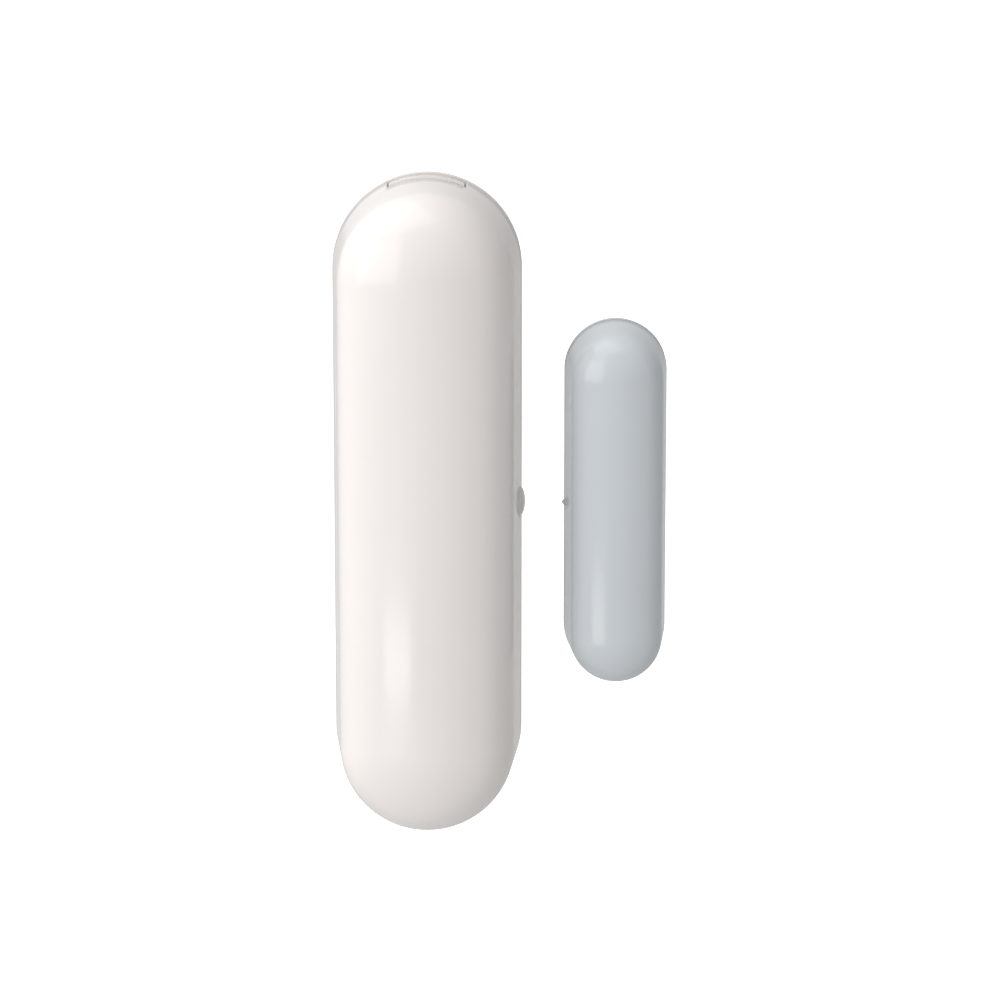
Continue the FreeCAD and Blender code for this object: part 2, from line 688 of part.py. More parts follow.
def circuit_board():
    """The board: a wide part above the cell and a tongue beside it for the reed switch."""
    body = new_body("circuit_board")
    outline = sketch_on(body, "board_outline", "XZ_Plane", "dims.main_floor + dims.board_standoff")
    height = "(dims.board_top + dims.board_bottom)"
    middle = "((dims.board_top - dims.board_bottom) / 2)"
    rectangle(outline, "2 * dims.board_half_width", height, "0", middle)
    pad(body, "board_sheet", outline, "dims.board_thickness")
    tongue = sketch_on(body, "tongue_outline", "XZ_Plane", "dims.main_floor + dims.board_standoff")
    rectangle(tongue, "dims.tongue_width", "dims.tongue_height",
              "dims.board_half_width - dims.tongue_width / 2", "dims.tongue_height / 2 - dims.board_tongue")
    pad(body, "board_tongue", tongue, "dims.board_thickness")
    holes = sketch_on(body, "board_hole_outline", "XZ_Plane", "dims.main_floor + dims.board_standoff + 2")
    for x, z in BOARD_SCREWS:
        circle(holes, "dims.board_screw_hole", x, z)
    circle(holes, "dims.plunger_hole", "0", "dims.tamper_up")
    pocket(body, "board_holes", holes, "3")
    top = number("dims.board_top")
    dress(body, "Fillet", "board_corners", "dims.board_corner",
          lambda box: box.ZMin > top - 0.01 and box.XLength < 0.01)


def board_screws():
    """Two pan-head screws with a cross recess."""
    screws = []
    for index, (x, z) in enumerate(BOARD_SCREWS, start=1):
        head = stud(f"screw_head_{index}", "dims.screw_head_radius", "dims.screw_head_height", x,
                    BOARD_FRONT, z)
        shank = stud(f"screw_shank_{index}", "dims.screw_shank_radius", "dims.screw_shank_length", x,
                     f"{BOARD_FRONT} + dims.screw_shank_length - 0.05", z)
        crest = f"{BOARD_FRONT} - dims.cross_depth"
        bars = [block(f"screw_slot_{index}_{side}", width, "dims.cross_depth", height, x, crest, z)
                for side, width, height in (("across", "dims.cross_length", "dims.cross_width"),
                                             ("upright", "dims.cross_width", "dims.cross_length"))]
        solid = fuse(f"screw_blank_{index}", head, shank)
        screws.append(cut(f"board_screw_{index}", solid, fuse(f"screw_cross_{index}", *bars)))
    keep(group("board_screws", screws), "board_screws")


def reed_switch():
    """A glass reed switch along the magnet side: two blades that overlap at mid-height."""
    half = "dims.reed_length / 2"
    tube = rod("reed_tube", "dims.reed_radius", "dims.reed_length", "dims.reed_side", REED_Y, f"-{half}")
    bore = rod("reed_bore", "dims.reed_radius - dims.reed_wall", "dims.reed_length - 2 * dims.reed_end_glass",
               "dims.reed_side", REED_Y, f"dims.reed_end_glass - {half}")
    passage = rod("reed_passage", "dims.lead_radius + 0.01", "dims.reed_length + 2", "dims.reed_side",
                  REED_Y, f"-1 - {half}")
    keep(cut("reed_glass", tube, fuse("reed_hollow", bore, passage)), "reed_glass")

    reach = f"({half} + dims.lead_reach)"
    fixed_y = f"({REED_Y} + dims.blade_thickness + dims.leaf_gap)"
    inner = f"({half} - dims.reed_end_glass)"
    for end, sign in (("upper", ""), ("lower", "-")):
        foot = inner if end == "upper" else f"-{reach}"
        wire = rod(f"reed_{end}_wire", "dims.lead_radius", f"{reach} - {inner}", "dims.reed_side",
                   REED_Y, foot)
        bend = ball(f"reed_{end}_bend", "dims.lead_radius", "dims.reed_side", REED_Y, f"{sign}{reach}")
        leg = stud(f"reed_{end}_leg", "dims.lead_radius", "dims.reed_height", "dims.reed_side", BOARD_FRONT,
                   f"{sign}{reach}")
        pieces = [wire, bend, leg]
        if end == "upper":
            pieces.append(block("reed_fixed_leaf", "dims.leaf_width", "dims.blade_thickness",
                                f"{inner} + dims.leaf_overlap",
                                "dims.reed_side", fixed_y, f"({inner} - dims.leaf_overlap) / 2"))
            pieces.append(block("reed_fixed_foot", "0.5", "0.42", "0.4", "dims.reed_side",
                                f"{REED_Y} + 0.22", f"{inner} - 0.2"))
        else:
            pieces.append(block("reed_lower_stub", "0.5", "0.3", "0.5", "dims.reed_side",
                                f"{REED_Y} + 0.05", f"0.25 - {inner}"))
        keep(fuse(f"reed_{end}_lead", *pieces), f"reed_{end}_lead")
    keep(block("reed_moving_blade", "dims.leaf_width", "dims.blade_thickness", f"{inner} + 0.05",
               "dims.reed_side", f"{REED_Y} - dims.leaf_gap", f"(1.25 - {inner}) / 2"), "reed_moving_blade")


def flat_part(name, label):
    """A square part on the board's front, from its row of the sheet."""
    return block(label, f"dims.{name}_width", f"dims.{name}_thickness", f"dims.{name}_height",
                 f"dims.{name}_x", BOARD_FRONT, f"dims.{name}_z")


def chips():
    """The parts soldered flat on the board's front."""
    for name in ("microcontroller", "radio_chip", "crystal"):
        keep(flat_part(name, name), name)
    can = flat_part("radio_shield", "shield_outside")
    inside = block("shield_inside", "dims.radio_shield_width - 2 * dims.shield_sheet",
                   "dims.radio_shield_thickness - dims.shield_sheet",
                   "dims.radio_shield_height - 2 * dims.shield_sheet", "dims.radio_shield_x", BOARD_FRONT,
                   "dims.radio_shield_z")
    keep(cut("shield_can", can, inside), "radio_shield")
    foot = flat_part("capacitor", "capacitor_foot")
    drum = stud("capacitor_drum", "dims.drum_radius", "dims.drum_height", "dims.capacitor_x",
                f"{BOARD_FRONT} - dims.capacitor_thickness", "dims.capacitor_z")
    keep(fuse("capacitor_can", foot, drum), "capacitor")
    lamp = flat_part("status_led", "led_foot")
    lens = block("led_lens", "dims.status_led_width - 2 * dims.lens_inset", "dims.status_led_thickness",
                 "dims.status_led_height - dims.lens_inset / 2", "dims.status_led_x",
                 f"{BOARD_FRONT} - dims.status_led_thickness", "dims.status_led_z")
    keep(fuse("led_piece", lamp, lens), "status_led")
    small = [block(f"surface_part_{index}", "dims.small_part_width", "dims.small_part_thickness",
                   "dims.small_part_height", x, BOARD_FRONT, z)
             for index, (x, z) in enumerate(SMALL_PARTS, start=1)]
    keep(group("surface_parts", small), "surface_parts")

def antenna():
    """A folded metal strip antenna that stands along the board's right edge on two feet."""
    strip = block("antenna_strip", "dims.antenna_sheet", "dims.antenna_strip_width", "dims.antenna_length",
                  "dims.antenna_x", f"{BOARD_FRONT} - dims.antenna_lift", "dims.antenna_z")
    feet = [block(f"antenna_foot_{index}", "dims.antenna_sheet", "dims.antenna_foot_height",
                  "dims.antenna_foot_width", "dims.antenna_x", BOARD_FRONT, z)
            for index, z in enumerate(("dims.antenna_foot_low", "dims.antenna_foot_high"), start=1)]
    keep(fuse("antenna", strip, *feet), "antenna")


def pairing_control():
    """The push switch that joins the sensor to its hub, and its button."""
    front = f"({BOARD_FRONT} - dims.pairing_thickness)"
    body = block("pairing_case", "dims.pairing_side", "dims.pairing_thickness", "dims.pairing_side",
                 "-dims.pairing_x", BOARD_FRONT, "dims.pairing_z")
    well = stud("pairing_well", "dims.pairing_well", "dims.pairing_well_depth + 0.1", "-dims.pairing_x",
                f"{front} + dims.pairing_well_depth", "dims.pairing_z")
    keep(cut("pairing_switch", body, well), "pairing_switch")
    keep(stud("pairing_button", "dims.button_radius", "dims.button_length", "-dims.pairing_x",
              f"{front} + dims.button_depth", "dims.pairing_z"), "pairing_button")


def coil(name, bottom_radius, top_radius, wire, length, turns, label):
    """A round-wire coil along z; it stands on z = 0 and may be conical."""
    spine = document.addObject("Part::Helix", f"{name}_spine")
    spine.Style = "New style"
    bind(spine, Radius=bottom_radius, Height=length, Pitch=f"({length}) / {turns}")
    spine.Angle = math.degrees(math.atan2(number(top_radius) - number(bottom_radius), number(length)))
    section = document.addObject("Part::Circle", f"{name}_section")
    section.Placement = FreeCAD.Placement(FreeCAD.Vector(), FreeCAD.Rotation(FreeCAD.Vector(1, 0, 0), 90))
    bind(section, Radius=wire)
    section.setExpression("Placement.Base.x", str(bottom_radius))
    sweep = document.addObject("Part::Sweep", name)
    sweep.Sections = [section]
    sweep.Spine = (spine, ["Edge1"])
    sweep.Solid = True
    sweep.Frenet = True
    return keep(sweep, label)


def tamper_control():
    """The plunger that feels the wall through the floor, its spring and the switch that it works."""
    flange_rear = f"({FLOOR} - dims.plunger_out)"
    shaft = stud("plunger_shaft", "dims.plunger_radius", "-" + flange_rear, "0", "0", "dims.tamper_up")
    flange = stud("plunger_flange", "dims.flange_radius", "dims.flange_thickness", "0", flange_rear,
                  "dims.tamper_up")
    stem = stud("plunger_stem", "dims.stem_radius", "dims.stem_length", "0",
                f"{flange_rear} - 0.3", "dims.tamper_up")
    keep(fuse("tamper_plunger", shaft, flange, stem), "tamper_plunger")
    case = block("tamper_case", "dims.tamper_side", "dims.tamper_thickness", "dims.tamper_side", "0",
                 BOARD_FRONT, "dims.tamper_up")
    well = stud("tamper_well", "dims.tamper_well", "dims.tamper_well_depth", "0", BOARD_FRONT,
                "dims.tamper_up")
    keep(cut("tamper_switch", case, well), "tamper_switch")
    spring = coil("tamper_coil", "dims.tamper_coil_radius", "dims.tamper_coil_radius", "dims.tamper_wire",
                  "dims.tamper_coil_length", TAMPER_TURNS, "tamper_spring")
    spring.Placement = FreeCAD.Placement(FreeCAD.Vector(), FreeCAD.Rotation(FreeCAD.Vector(1, 0, 0), 90))
    place(spring, "0", f"{flange_rear} - dims.tamper_coil_rest", "dims.tamper_up")


# ---------------------------------------------------------------- cell and contacts


def cell():
    """A round lithium cell: can, printed sleeve, insulating ring and positive cap."""
    can_radius = "dims.cell_radius - dims.sleeve_thickness - dims.fit_gap"
    keep(rod("battery_can", can_radius, CAN_LENGTH, "0", CELL_Y, CELL_FOOT), "battery_can")
    wrap = rod("sleeve_outside", "dims.cell_radius", f"{CAN_LENGTH} - 2 * dims.sleeve_end", "0", CELL_Y,
               f"{CELL_FOOT} + dims.sleeve_end")
    inside = rod("sleeve_inside", "dims.cell_radius - dims.sleeve_thickness", CAN_LENGTH, "0", CELL_Y,
                 CELL_FOOT)
    keep(cut("battery_sleeve", wrap, inside), "battery_sleeve")
    shoulder = f"{CELL_FOOT} + {CAN_LENGTH}"
    keep(rod("battery_cap", "dims.cap_radius", "dims.nub_length", "0", CELL_Y, shoulder), "battery_cap")
    ring = rod("gasket_outside", "dims.gasket_radius", "dims.gasket_thickness", "0", CELL_Y, shoulder)
    hole = rod("gasket_inside", "dims.cap_radius + dims.gasket_fit", "3 * dims.gasket_thickness", "0", CELL_Y,
               f"{shoulder} - dims.gasket_thickness")
    keep(cut("battery_gasket", ring, hole), "battery_gasket")


def contacts():
    """The contact plates at both ends of the cell, the coil spring and the strip back to the board."""
    top = f"({CELL_FOOT} + dims.cell_length)"
    plate = block("contact_blade", "dims.blade_width", "dims.blade_height", "dims.metal_sheet", "0",
                  f"{BOARD_FRONT} - 0.01", f"{top} + dims.contact_gap")
    foot = block("contact_foot", "dims.contact_foot_width", "dims.metal_sheet", "dims.contact_foot_length",
                 "0", BOARD_FRONT, f"{top} + dims.contact_foot_rise")
    keep(fuse("positive_contact", plate, foot), "positive_contact")
    plate_z = f"({CELL_FOOT} - dims.plate_down)"
    middle = f"({plate_z} - dims.metal_sheet / 2)"
    wide = block("negative_face", "dims.plate_side", "dims.plate_side", "dims.metal_sheet", "0",
                 f"{FLOOR} - dims.plate_lift", middle)
    narrow = block("negative_foot", "dims.plate_foot_width", "dims.plate_foot_height", "dims.metal_sheet",
                   "0", f"{FLOOR} - dims.strip_sheet", middle)
    keep(fuse("negative_plate", wide, narrow), "negative_plate")
    spring = coil("negative_coil", "dims.cell_coil_low", "dims.cell_coil_high", "dims.cell_coil_wire",
                  "dims.cell_coil_length", CELL_COIL_TURNS, "negative_spring")
    place(spring, "0", CELL_Y, f"{plate_z} + dims.cell_coil_rest")
    side = "-dims.strip_side"
    turn = "-dims.strip_turn"
    top_run = block("strip_run", "dims.strip_width", "dims.strip_sheet", "dims.strip_turn - dims.strip_top",
                    side, FLOOR, "-(dims.strip_turn + dims.strip_top) / 2")
    rise = block("strip_rise", "dims.strip_width", "dims.board_standoff", "dims.strip_sheet", side, FLOOR,
                 "-dims.strip_top - dims.strip_sheet / 2")
    across = block("strip_across", "dims.strip_side + dims.strip_width", "dims.strip_sheet",
                   "dims.strip_bend_width", f"{side} / 2", FLOOR, turn)
    low_run = block("strip_low_run", "dims.strip_width", "dims.strip_sheet",
                    f"{turn} - {plate_z} + dims.metal_sheet", "0", FLOOR,
                    f"({turn} + {plate_z} - dims.metal_sheet) / 2")
    keep(fuse("return_strip", top_run, rise, across, low_run), "return_strip")


# ---------------------------------------------------------------- magnet housing


def magnet_base():
    body = new_body("magnet_base")
    base_plate(body, "magnet_plate", "dims.magnet_width", MAGNET_STRAIGHT, "dims.magnet_floor",
               "dims.magnet_wall", "dims.magnet_rim_height")
    stops = sketch_on(body, "stop_outline", "XZ_Plane", "dims.magnet_floor")
    for sign in ("", "-"):
        rectangle(stops, "dims.stop_width", "dims.stop_thickness", "0",
                  f"{sign}(dims.bar_length / 2 + dims.stop_gap)")
    pad(body, "stops", stops, "dims.stop_height")
    holes = sketch_on(body, "magnet_hole_outline", "XZ_Plane", "dims.magnet_floor + 1")
    for sign in ("", "-"):
        circle(holes, "dims.magnet_hole_radius", "0", f"{sign}dims.magnet_hole_up")
    pocket(body, "magnet_holes", holes, "dims.magnet_floor + 2")
    recess = sketch_on(body, "magnet_recess_outline", "XZ_Plane")
    rectangle(recess, "dims.magnet_tape_width", "dims.magnet_tape_height", "0", "0")
    pocket(body, "magnet_recess", recess, "dims.pad_thickness", reverse=True)
    place(body, MAGNET_X)


def magnet_cover():
    """The short domed cover, with a pointed nib towards the sensor."""
    body = new_body("magnet_cover")
    shell(body, "magnet_cap", "dims.magnet_width", "dims.magnet_depth", "dims.magnet_wall",
          "dims.magnet_edge", "dims.magnet_crown", MAGNET_STRAIGHT, "dims.magnet_floor")
    place(body, MAGNET_X)
    tip = document.addObject("Part::Cone", "nib_cone")
    tip.Placement = FreeCAD.Placement(FreeCAD.Vector(), FreeCAD.Rotation(FreeCAD.Vector(0, 1, 0), -90))
    bind(tip, Radius1="dims.nib_root_radius", Radius2="dims.nib_tip_radius",
         Height="dims.nib_root_depth + dims.nib_proud")
    place(tip, f"{MAGNET_X} - dims.magnet_width / 2 + dims.nib_root_depth", "-dims.nib_level", "0")
    fuse_onto(body, tip)


def magnet_inside():
    """The bar magnet, the foam that holds it down and the tape behind the base."""
    floor = "-dims.magnet_floor - dims.fit_gap"
    bar = block("bar_blank", "dims.bar_width", "dims.bar_thickness", "dims.bar_length", MAGNET_X, floor, "0")
    rounded = document.addObject("Part::Fillet", "bar_rounding")
    rounded.Base = bar
    document.recompute()
    radius = number("dims.bar_rounding")
    rounded.Edges = [(index, radius, radius) for index, edge in enumerate(bar.Shape.Edges, start=1)]
    keep(rounded, "bar_magnet")
    keep(block("magnet_foam", "dims.foam_width", "dims.foam_thickness", "dims.foam_height", MAGNET_X,
               f"{floor} - dims.bar_thickness - dims.fit_gap", "0"), "magnet_foam")
    keep(block("magnet_adhesive_pad", "dims.magnet_tape_width - dims.tape_clearance", "dims.pad_thickness",
               "dims.magnet_tape_height - dims.tape_clearance", MAGNET_X, "0", "0"),
         "magnet_adhesive_pad")


# ---------------------------------------------------------------- build, check and write


def write_parts():
    """Check every object of the document, then write each piece to a file of its own name."""
    document.recompute()
    for item in document.Objects:
        if {"Invalid", "Error"} & set(item.State):
            raise RuntimeError(f"{item.Name} failed: {item.State}")
    for item in nodes:
        if item.Shape.isNull() or not item.Shape.isValid():
            raise RuntimeError(f"{item.Label} has no valid shape")
    os.makedirs("parts", exist_ok=True)
    for item in nodes:
        item.Shape.exportStep(f"parts/{item.Label}.step")
        print(f"{item.Label:24s} {len(item.Shape.Solids)} solid(s) {item.Shape.Volume:10.2f} mm3")


for make in (rear_base, front_cover, release_latch, mounting_tape, circuit_board, board_screws, reed_switch,
             chips, antenna, pairing_control, tamper_control, cell, contacts, magnet_base, magnet_cover,
             magnet_inside):
    make()
write_parts()
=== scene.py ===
"""Door contact sensor: a battery housing with a reed switch, and the magnet housing that it senses."""

import json
import math

import bmesh
import bpy
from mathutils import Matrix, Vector


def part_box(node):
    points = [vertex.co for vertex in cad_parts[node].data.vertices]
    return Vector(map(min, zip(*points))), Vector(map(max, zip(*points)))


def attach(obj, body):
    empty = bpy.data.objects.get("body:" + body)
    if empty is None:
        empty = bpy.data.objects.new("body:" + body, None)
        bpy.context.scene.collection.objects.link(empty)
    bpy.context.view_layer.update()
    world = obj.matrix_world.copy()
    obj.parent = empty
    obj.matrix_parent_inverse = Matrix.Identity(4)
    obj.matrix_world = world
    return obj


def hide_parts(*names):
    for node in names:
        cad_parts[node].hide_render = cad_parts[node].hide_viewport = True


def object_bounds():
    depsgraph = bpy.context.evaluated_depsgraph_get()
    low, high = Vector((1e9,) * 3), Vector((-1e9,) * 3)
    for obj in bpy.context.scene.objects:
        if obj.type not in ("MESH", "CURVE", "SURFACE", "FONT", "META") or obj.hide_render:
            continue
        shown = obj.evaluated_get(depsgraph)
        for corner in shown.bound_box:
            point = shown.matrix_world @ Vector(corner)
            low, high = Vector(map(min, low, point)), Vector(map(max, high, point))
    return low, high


bl_info = {
    "name": "Door contact sensor",
    "version": (1, 0, 0),
    "blender": (4, 5, 0),
    "location": "3D Viewport > Sidebar > Sensor",
    "description": "Models and finishes a door contact sensor around its CAD frame",
    "category": "Add Mesh",
}

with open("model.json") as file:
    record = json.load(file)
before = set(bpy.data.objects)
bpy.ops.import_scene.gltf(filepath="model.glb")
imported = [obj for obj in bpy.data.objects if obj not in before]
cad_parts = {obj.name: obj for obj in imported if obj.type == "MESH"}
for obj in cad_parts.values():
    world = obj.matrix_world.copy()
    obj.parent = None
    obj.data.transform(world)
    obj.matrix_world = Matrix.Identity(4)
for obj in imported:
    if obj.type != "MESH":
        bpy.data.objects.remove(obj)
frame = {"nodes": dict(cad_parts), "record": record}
CAD_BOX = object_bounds()
MM = 0.001
TURN_STEPS = 48  # faces round half a turn of a housing's end
ROUND_STEPS = 64  # faces round the battery's can and sleeve
CAP_STEPS = 48  # faces round its cap
WELD = 0.002 * MM
RIM_SLACK = 0.05 * MM
PATCH = 1.6  # half the finer patch under a raised mark, in reaches of the mark
SIDE_FACING = 0.8  # least sideways part of a side wall's normal


# ---------------------------------------------------------------- sizes and colours that a user would change


def length(name, description, default_mm, low=0.0):
    """A size property, given in millimetres and kept in metres."""
    return bpy.props.FloatProperty(name=name, description=description, default=default_mm * MM,
                                   min=low, precision=5, unit="LENGTH")


def colour(name, description, default):
    """A colour property, as linear red, green and blue."""
    return bpy.props.FloatVectorProperty(name=name, description=description, default=default,
                                         size=3, min=0, max=1, subtype="COLOR")


class SensorHousing(bpy.types.PropertyGroup):
    """Sizes of the two moulded housings."""

    main_wall: length("Cover wall", "Wall of the long cover", 1.6)
    main_edge: length("Cover edge", "Radius where the long cover's side meets its crowned front", 6.5)
    main_crown: length("Cover crown", "Radius of the long cover's crowned front", 18)
    main_parting: length("Cover parting", "Height of the long cover's open edge above the wall", 2.2)
    magnet_wall: length("Magnet wall", "Wall of the magnet cover", 1.3)
    magnet_edge: length("Magnet edge", "Radius where the magnet cover's side meets its front", 3.4)
    magnet_crown: length("Magnet crown", "Radius of the magnet cover's crowned front", 9)
    magnet_parting: length("Magnet parting", "Height of the magnet cover's open edge above the wall", 1.8)
    draft: bpy.props.FloatProperty(name="Draft", description="Lean of the moulded side walls",
                                   default=math.radians(5), subtype="ANGLE")
    softening: length("Edge softening", "Rounding of the moulded edges", 0.16)
    notch_half: length("Latch notch", "Half the width of the notch for the latch", 4.85)
    notch_front: length("Notch front", "Height of the notch's front edge above the wall", 5.4)
    notch_start: length("Notch start", "Level from which the notch is cut, above the end's middle", 4)
    mark_height: length("Mark height", "Height of the sensor's mark above its side", 0.62)
    mark_reach: length("Mark reach", "Radius of the sensor's mark", 1.85)
    mark_level: length("Mark level", "Height of the sensor's mark above the wall", 5)
    nib_height: length("Nib height", "Height of the magnet's pointed mark above its side", 0.55)
    nib_reach: length("Nib reach", "Radius of the magnet's pointed mark", 0.85)
    nib_level: length("Nib level", "Height of the magnet's pointed mark above the wall", 4.2)


class SensorInside(bpy.types.PropertyGroup):
    """Sizes of the pieces inside and behind the housings."""

    tape_corner: length("Tape corner", "Corner radius of the foam tape", 1.2)
    tape_edge: length("Tape edge", "Rounding of the foam tape's cut edge", 0.08)
    foam_corner: length("Foam corner", "Corner radius of the packing foam", 0.9)
    foam_edge: length("Foam edge", "Rounding of the packing foam", 0.4)
    can_corner: length("Can corner", "Rounding of the battery's ends", 0.9)
    can_dish: length("Can dish", "Depth of the dished foot of the battery", 0.15)
    neck_depth: length("Neck depth", "Depth of the groove rolled in the battery's neck", 0.3)
    neck_drop: length("Neck drop", "Distance of the groove's middle from the battery's upper end", 2.4)
    neck_half: length("Neck half", "Half the width of the groove", 0.5)
    sleeve_film: length("Sleeve film", "Thickness of the battery's sleeve", 0.1)
    sleeve_lip: length("Sleeve lip", "Height of the sleeve's ends, shrunk round the battery", 0.6)
    sleeve_curl: length("Sleeve curl", "How far the sleeve's ends turn in", 0.5)
    magnet_bevel: length("Magnet bevel", "Chamfer of the bar magnet's edges", 0.35)


class SensorColours(bpy.types.PropertyGroup):
    """Colours of the moulded and printed surfaces."""

    cover: colour("Cover", "Warm white gloss plastic", (0.86, 0.815, 0.79))
    # Magnet cover tone: pale cool grey, darker and bluer than the cover's warm white, kept the same under
    # every light
    magnet: colour("Magnet cover", "Cool pale grey gloss plastic", (0.60, 0.635, 0.665))
    tape: colour("Tape", "White foam tape", (0.72, 0.71, 0.68))
    board: colour("Board", "Green solder mask", (0.012, 0.095, 0.04))
    sleeve: colour("Sleeve", "Shrink sleeve on the battery", (0.03, 0.06, 0.16))


class SensorStudio(bpy.types.PropertyGroup):
    """The camera and the lights."""

    distance: length("Camera distance", "Distance from the camera to the sensor", 500)
    elevation: bpy.props.FloatProperty(name="Camera elevation", description="Camera's angle above level",
                                       default=math.radians(12), subtype="ANGLE")
    azimuth: bpy.props.FloatProperty(name="Camera azimuth", description="Camera's angle round the sensor",
                                     default=0.0, subtype="ANGLE")
    field: length("Field", "Width that the camera sees at the sensor", 123.7)
    aim: length("Aim", "Height of the point looked at above the sensor's middle", 1.35)
    key: bpy.props.FloatProperty(name="Key light", description="Power of the large light on the left",
                                 default=10.2, min=0, unit="POWER")
    top: bpy.props.FloatProperty(name="Top light", description="Power of the light above the sensor",
                                 default=6.6, min=0, unit="POWER")
    strip: bpy.props.FloatProperty(name="Strip light", description="Power of the small light low on the left",
                                   default=0.02, min=0, unit="POWER")
    ambient: bpy.props.FloatProperty(name="Ambient", description="Strength of the light from all round",
                                     default=0.37, min=0)


# ---------------------------------------------------------------- modelling by hand


def clear_selection():
    """Nothing selected, so that an operator acts only on the piece it is meant for."""
    if bpy.context.object and bpy.context.object.mode != "OBJECT":
        bpy.ops.object.mode_set(mode="OBJECT")
    bpy.ops.object.select_all(action="DESELECT")


def placed(name):
    """The primitive just added gets its name and puts its place in its mesh."""
    piece = bpy.context.object
    piece.name = piece.data.name = name
    bpy.ops.object.transform_apply(location=True, rotation=True, scale=True)
    return piece


def edit():
    """Edit mode with everything selected."""
    bpy.ops.object.mode_set(mode="EDIT")
    bpy.ops.mesh.select_all(action="SELECT")


def done():
    """Back to object mode."""
    bpy.ops.object.mode_set(mode="OBJECT")


def middle(item):
    """Middle point of a vertex, edge or face."""
    if hasattr(item, "co"):
        return item.co
    return sum((v.co for v in item.verts), Vector()) / len(item.verts)


def pick(kind, test):
    """Selects what passes a test in the mesh being edited; kind is VERT, EDGE or FACE."""
    bpy.ops.mesh.select_mode(type=kind)
    bpy.ops.mesh.select_all(action="DESELECT")
    mesh = bpy.context.object.data
    bm = bmesh.from_edit_mesh(mesh)
    items = {"VERT": bm.verts, "EDGE": bm.edges, "FACE": bm.faces}[kind]
    chosen = [item for item in items if test(item)]
    for item in chosen:
        item.select_set(True)
    bmesh.update_edit_mesh(mesh)
    return len(chosen)


def modified(piece, kind, **settings):
    """Adds one modifier, sets it and applies it."""
    bpy.context.view_layer.objects.active = piece
    modifier = piece.modifiers.new(kind.lower(), kind)
    for name, value in settings.items():
        setattr(modifier, name, value)
    bpy.ops.object.modifier_apply(modifier=modifier.name)


def softened(piece, width, segments=2, angle=40):
    """Rounds the sharp edges of a piece."""
    modified(piece, "BEVEL", width=width, segments=segments, limit_method="ANGLE",
             angle_limit=math.radians(angle), harden_normals=False)


def smooth(piece, angle=60):
    """Smooth shading, with edges sharper than the angle left crisp."""
    clear_selection()
    piece.select_set(True)
    bpy.context.view_layer.objects.active = piece
    bpy.ops.object.shade_smooth_by_angle(angle=math.radians(angle))


def section_line(name, points):
    """An edge chain through the points, from one merged plane; it is left in edit mode, all selected."""
    clear_selection()
    bpy.ops.mesh.primitive_plane_add(size=MM, location=points[0])
    piece = placed(name)
    edit()
    bpy.ops.mesh.select_mode(type="VERT")
    bpy.ops.mesh.merge(type="CENTER")
    for before, after in zip(points, points[1:]):
        step = Vector(after) - Vector(before)
        bpy.ops.mesh.extrude_vertices_move(TRANSFORM_OT_translate={"value": step})
    bpy.ops.mesh.select_all(action="SELECT")
    return piece


def sealed():
    """Welds the seams and poles of the mesh being edited and turns its faces outwards."""
    bpy.ops.mesh.select_all(action="SELECT")
    bpy.ops.mesh.remove_doubles(threshold=WELD)
    bpy.ops.mesh.normals_make_consistent(inside=False)


def turned(name, section, centre, steps):
    """A closed round piece about an upright axis, from its half section of (radius, height) pairs."""
    points = [(centre[0] + r, centre[1], z) for r, z in section]
    piece = section_line(name, points)
    bpy.ops.mesh.spin(steps=steps, angle=math.tau, center=(centre[0], centre[1], 0), axis=(0, 0, 1))
    sealed()
    done()
    return piece


# ---------------------------------------------------------------- housings


def dome_section(half, parting, depth, edge, crown, draft):
    """Half section of a domed cover, as (distance from the middle, height above the wall) pairs."""
    normal = Vector((math.cos(draft), math.sin(draft)))
    rise = Vector((-math.sin(draft), math.cos(draft)))
    foot = Vector((half, parting))
    crown_centre = Vector((0, depth - crown))
    offset = foot - edge * normal - crown_centre
    along = offset.dot(rise)
    climb = -along + math.sqrt(along ** 2 - offset.length_squared + (crown - edge) ** 2)
    edge_centre = foot + climb * rise - edge * normal
    turn = math.atan2(edge_centre.y - crown_centre.y, edge_centre.x - crown_centre.x)
    points = [foot + climb * k / 4 * rise for k in range(4)]
    for k in range(11):
        angle = draft + (turn - draft) * k / 10
        points.append(edge_centre + edge * Vector((math.cos(angle), math.sin(angle))))
    for k in range(1, 13):
        angle = turn + (math.pi / 2 - turn) * k / 12
        points.append(crown_centre + crown * Vector((math.cos(angle), math.sin(angle))))
    points[-1].x = 0
    return points


def domed_cover(name, middle_x, straight, section, wall):
    """A pill-shaped cover with round ends, open at the back, with an even wall."""
    points = [(middle_x + p.x, -p.y, straight / 2) for p in section]
    piece = section_line(name, points)
    bpy.ops.mesh.spin(steps=TURN_STEPS, angle=math.pi, center=(middle_x, 0, straight / 2), axis=(0, 1, 0))
    bpy.ops.mesh.extrude_edges_move(TRANSFORM_OT_translate={"value": (0, 0, -straight)})
    bpy.ops.mesh.spin(steps=TURN_STEPS, angle=math.pi, center=(middle_x, 0, -straight / 2), axis=(0, 1, 0))
    bpy.ops.mesh.extrude_edges_move(TRANSFORM_OT_translate={"value": (0, 0, straight)})
    sealed()
    front = max(bmesh.from_edit_mesh(piece.data).faces, key=lambda f: -middle(f).y)
    if front.normal.y > 0:
        bpy.ops.mesh.flip_normals()
    done()
    modified(piece, "SOLIDIFY", thickness=wall, offset=-1, use_even_offset=True)
    return piece


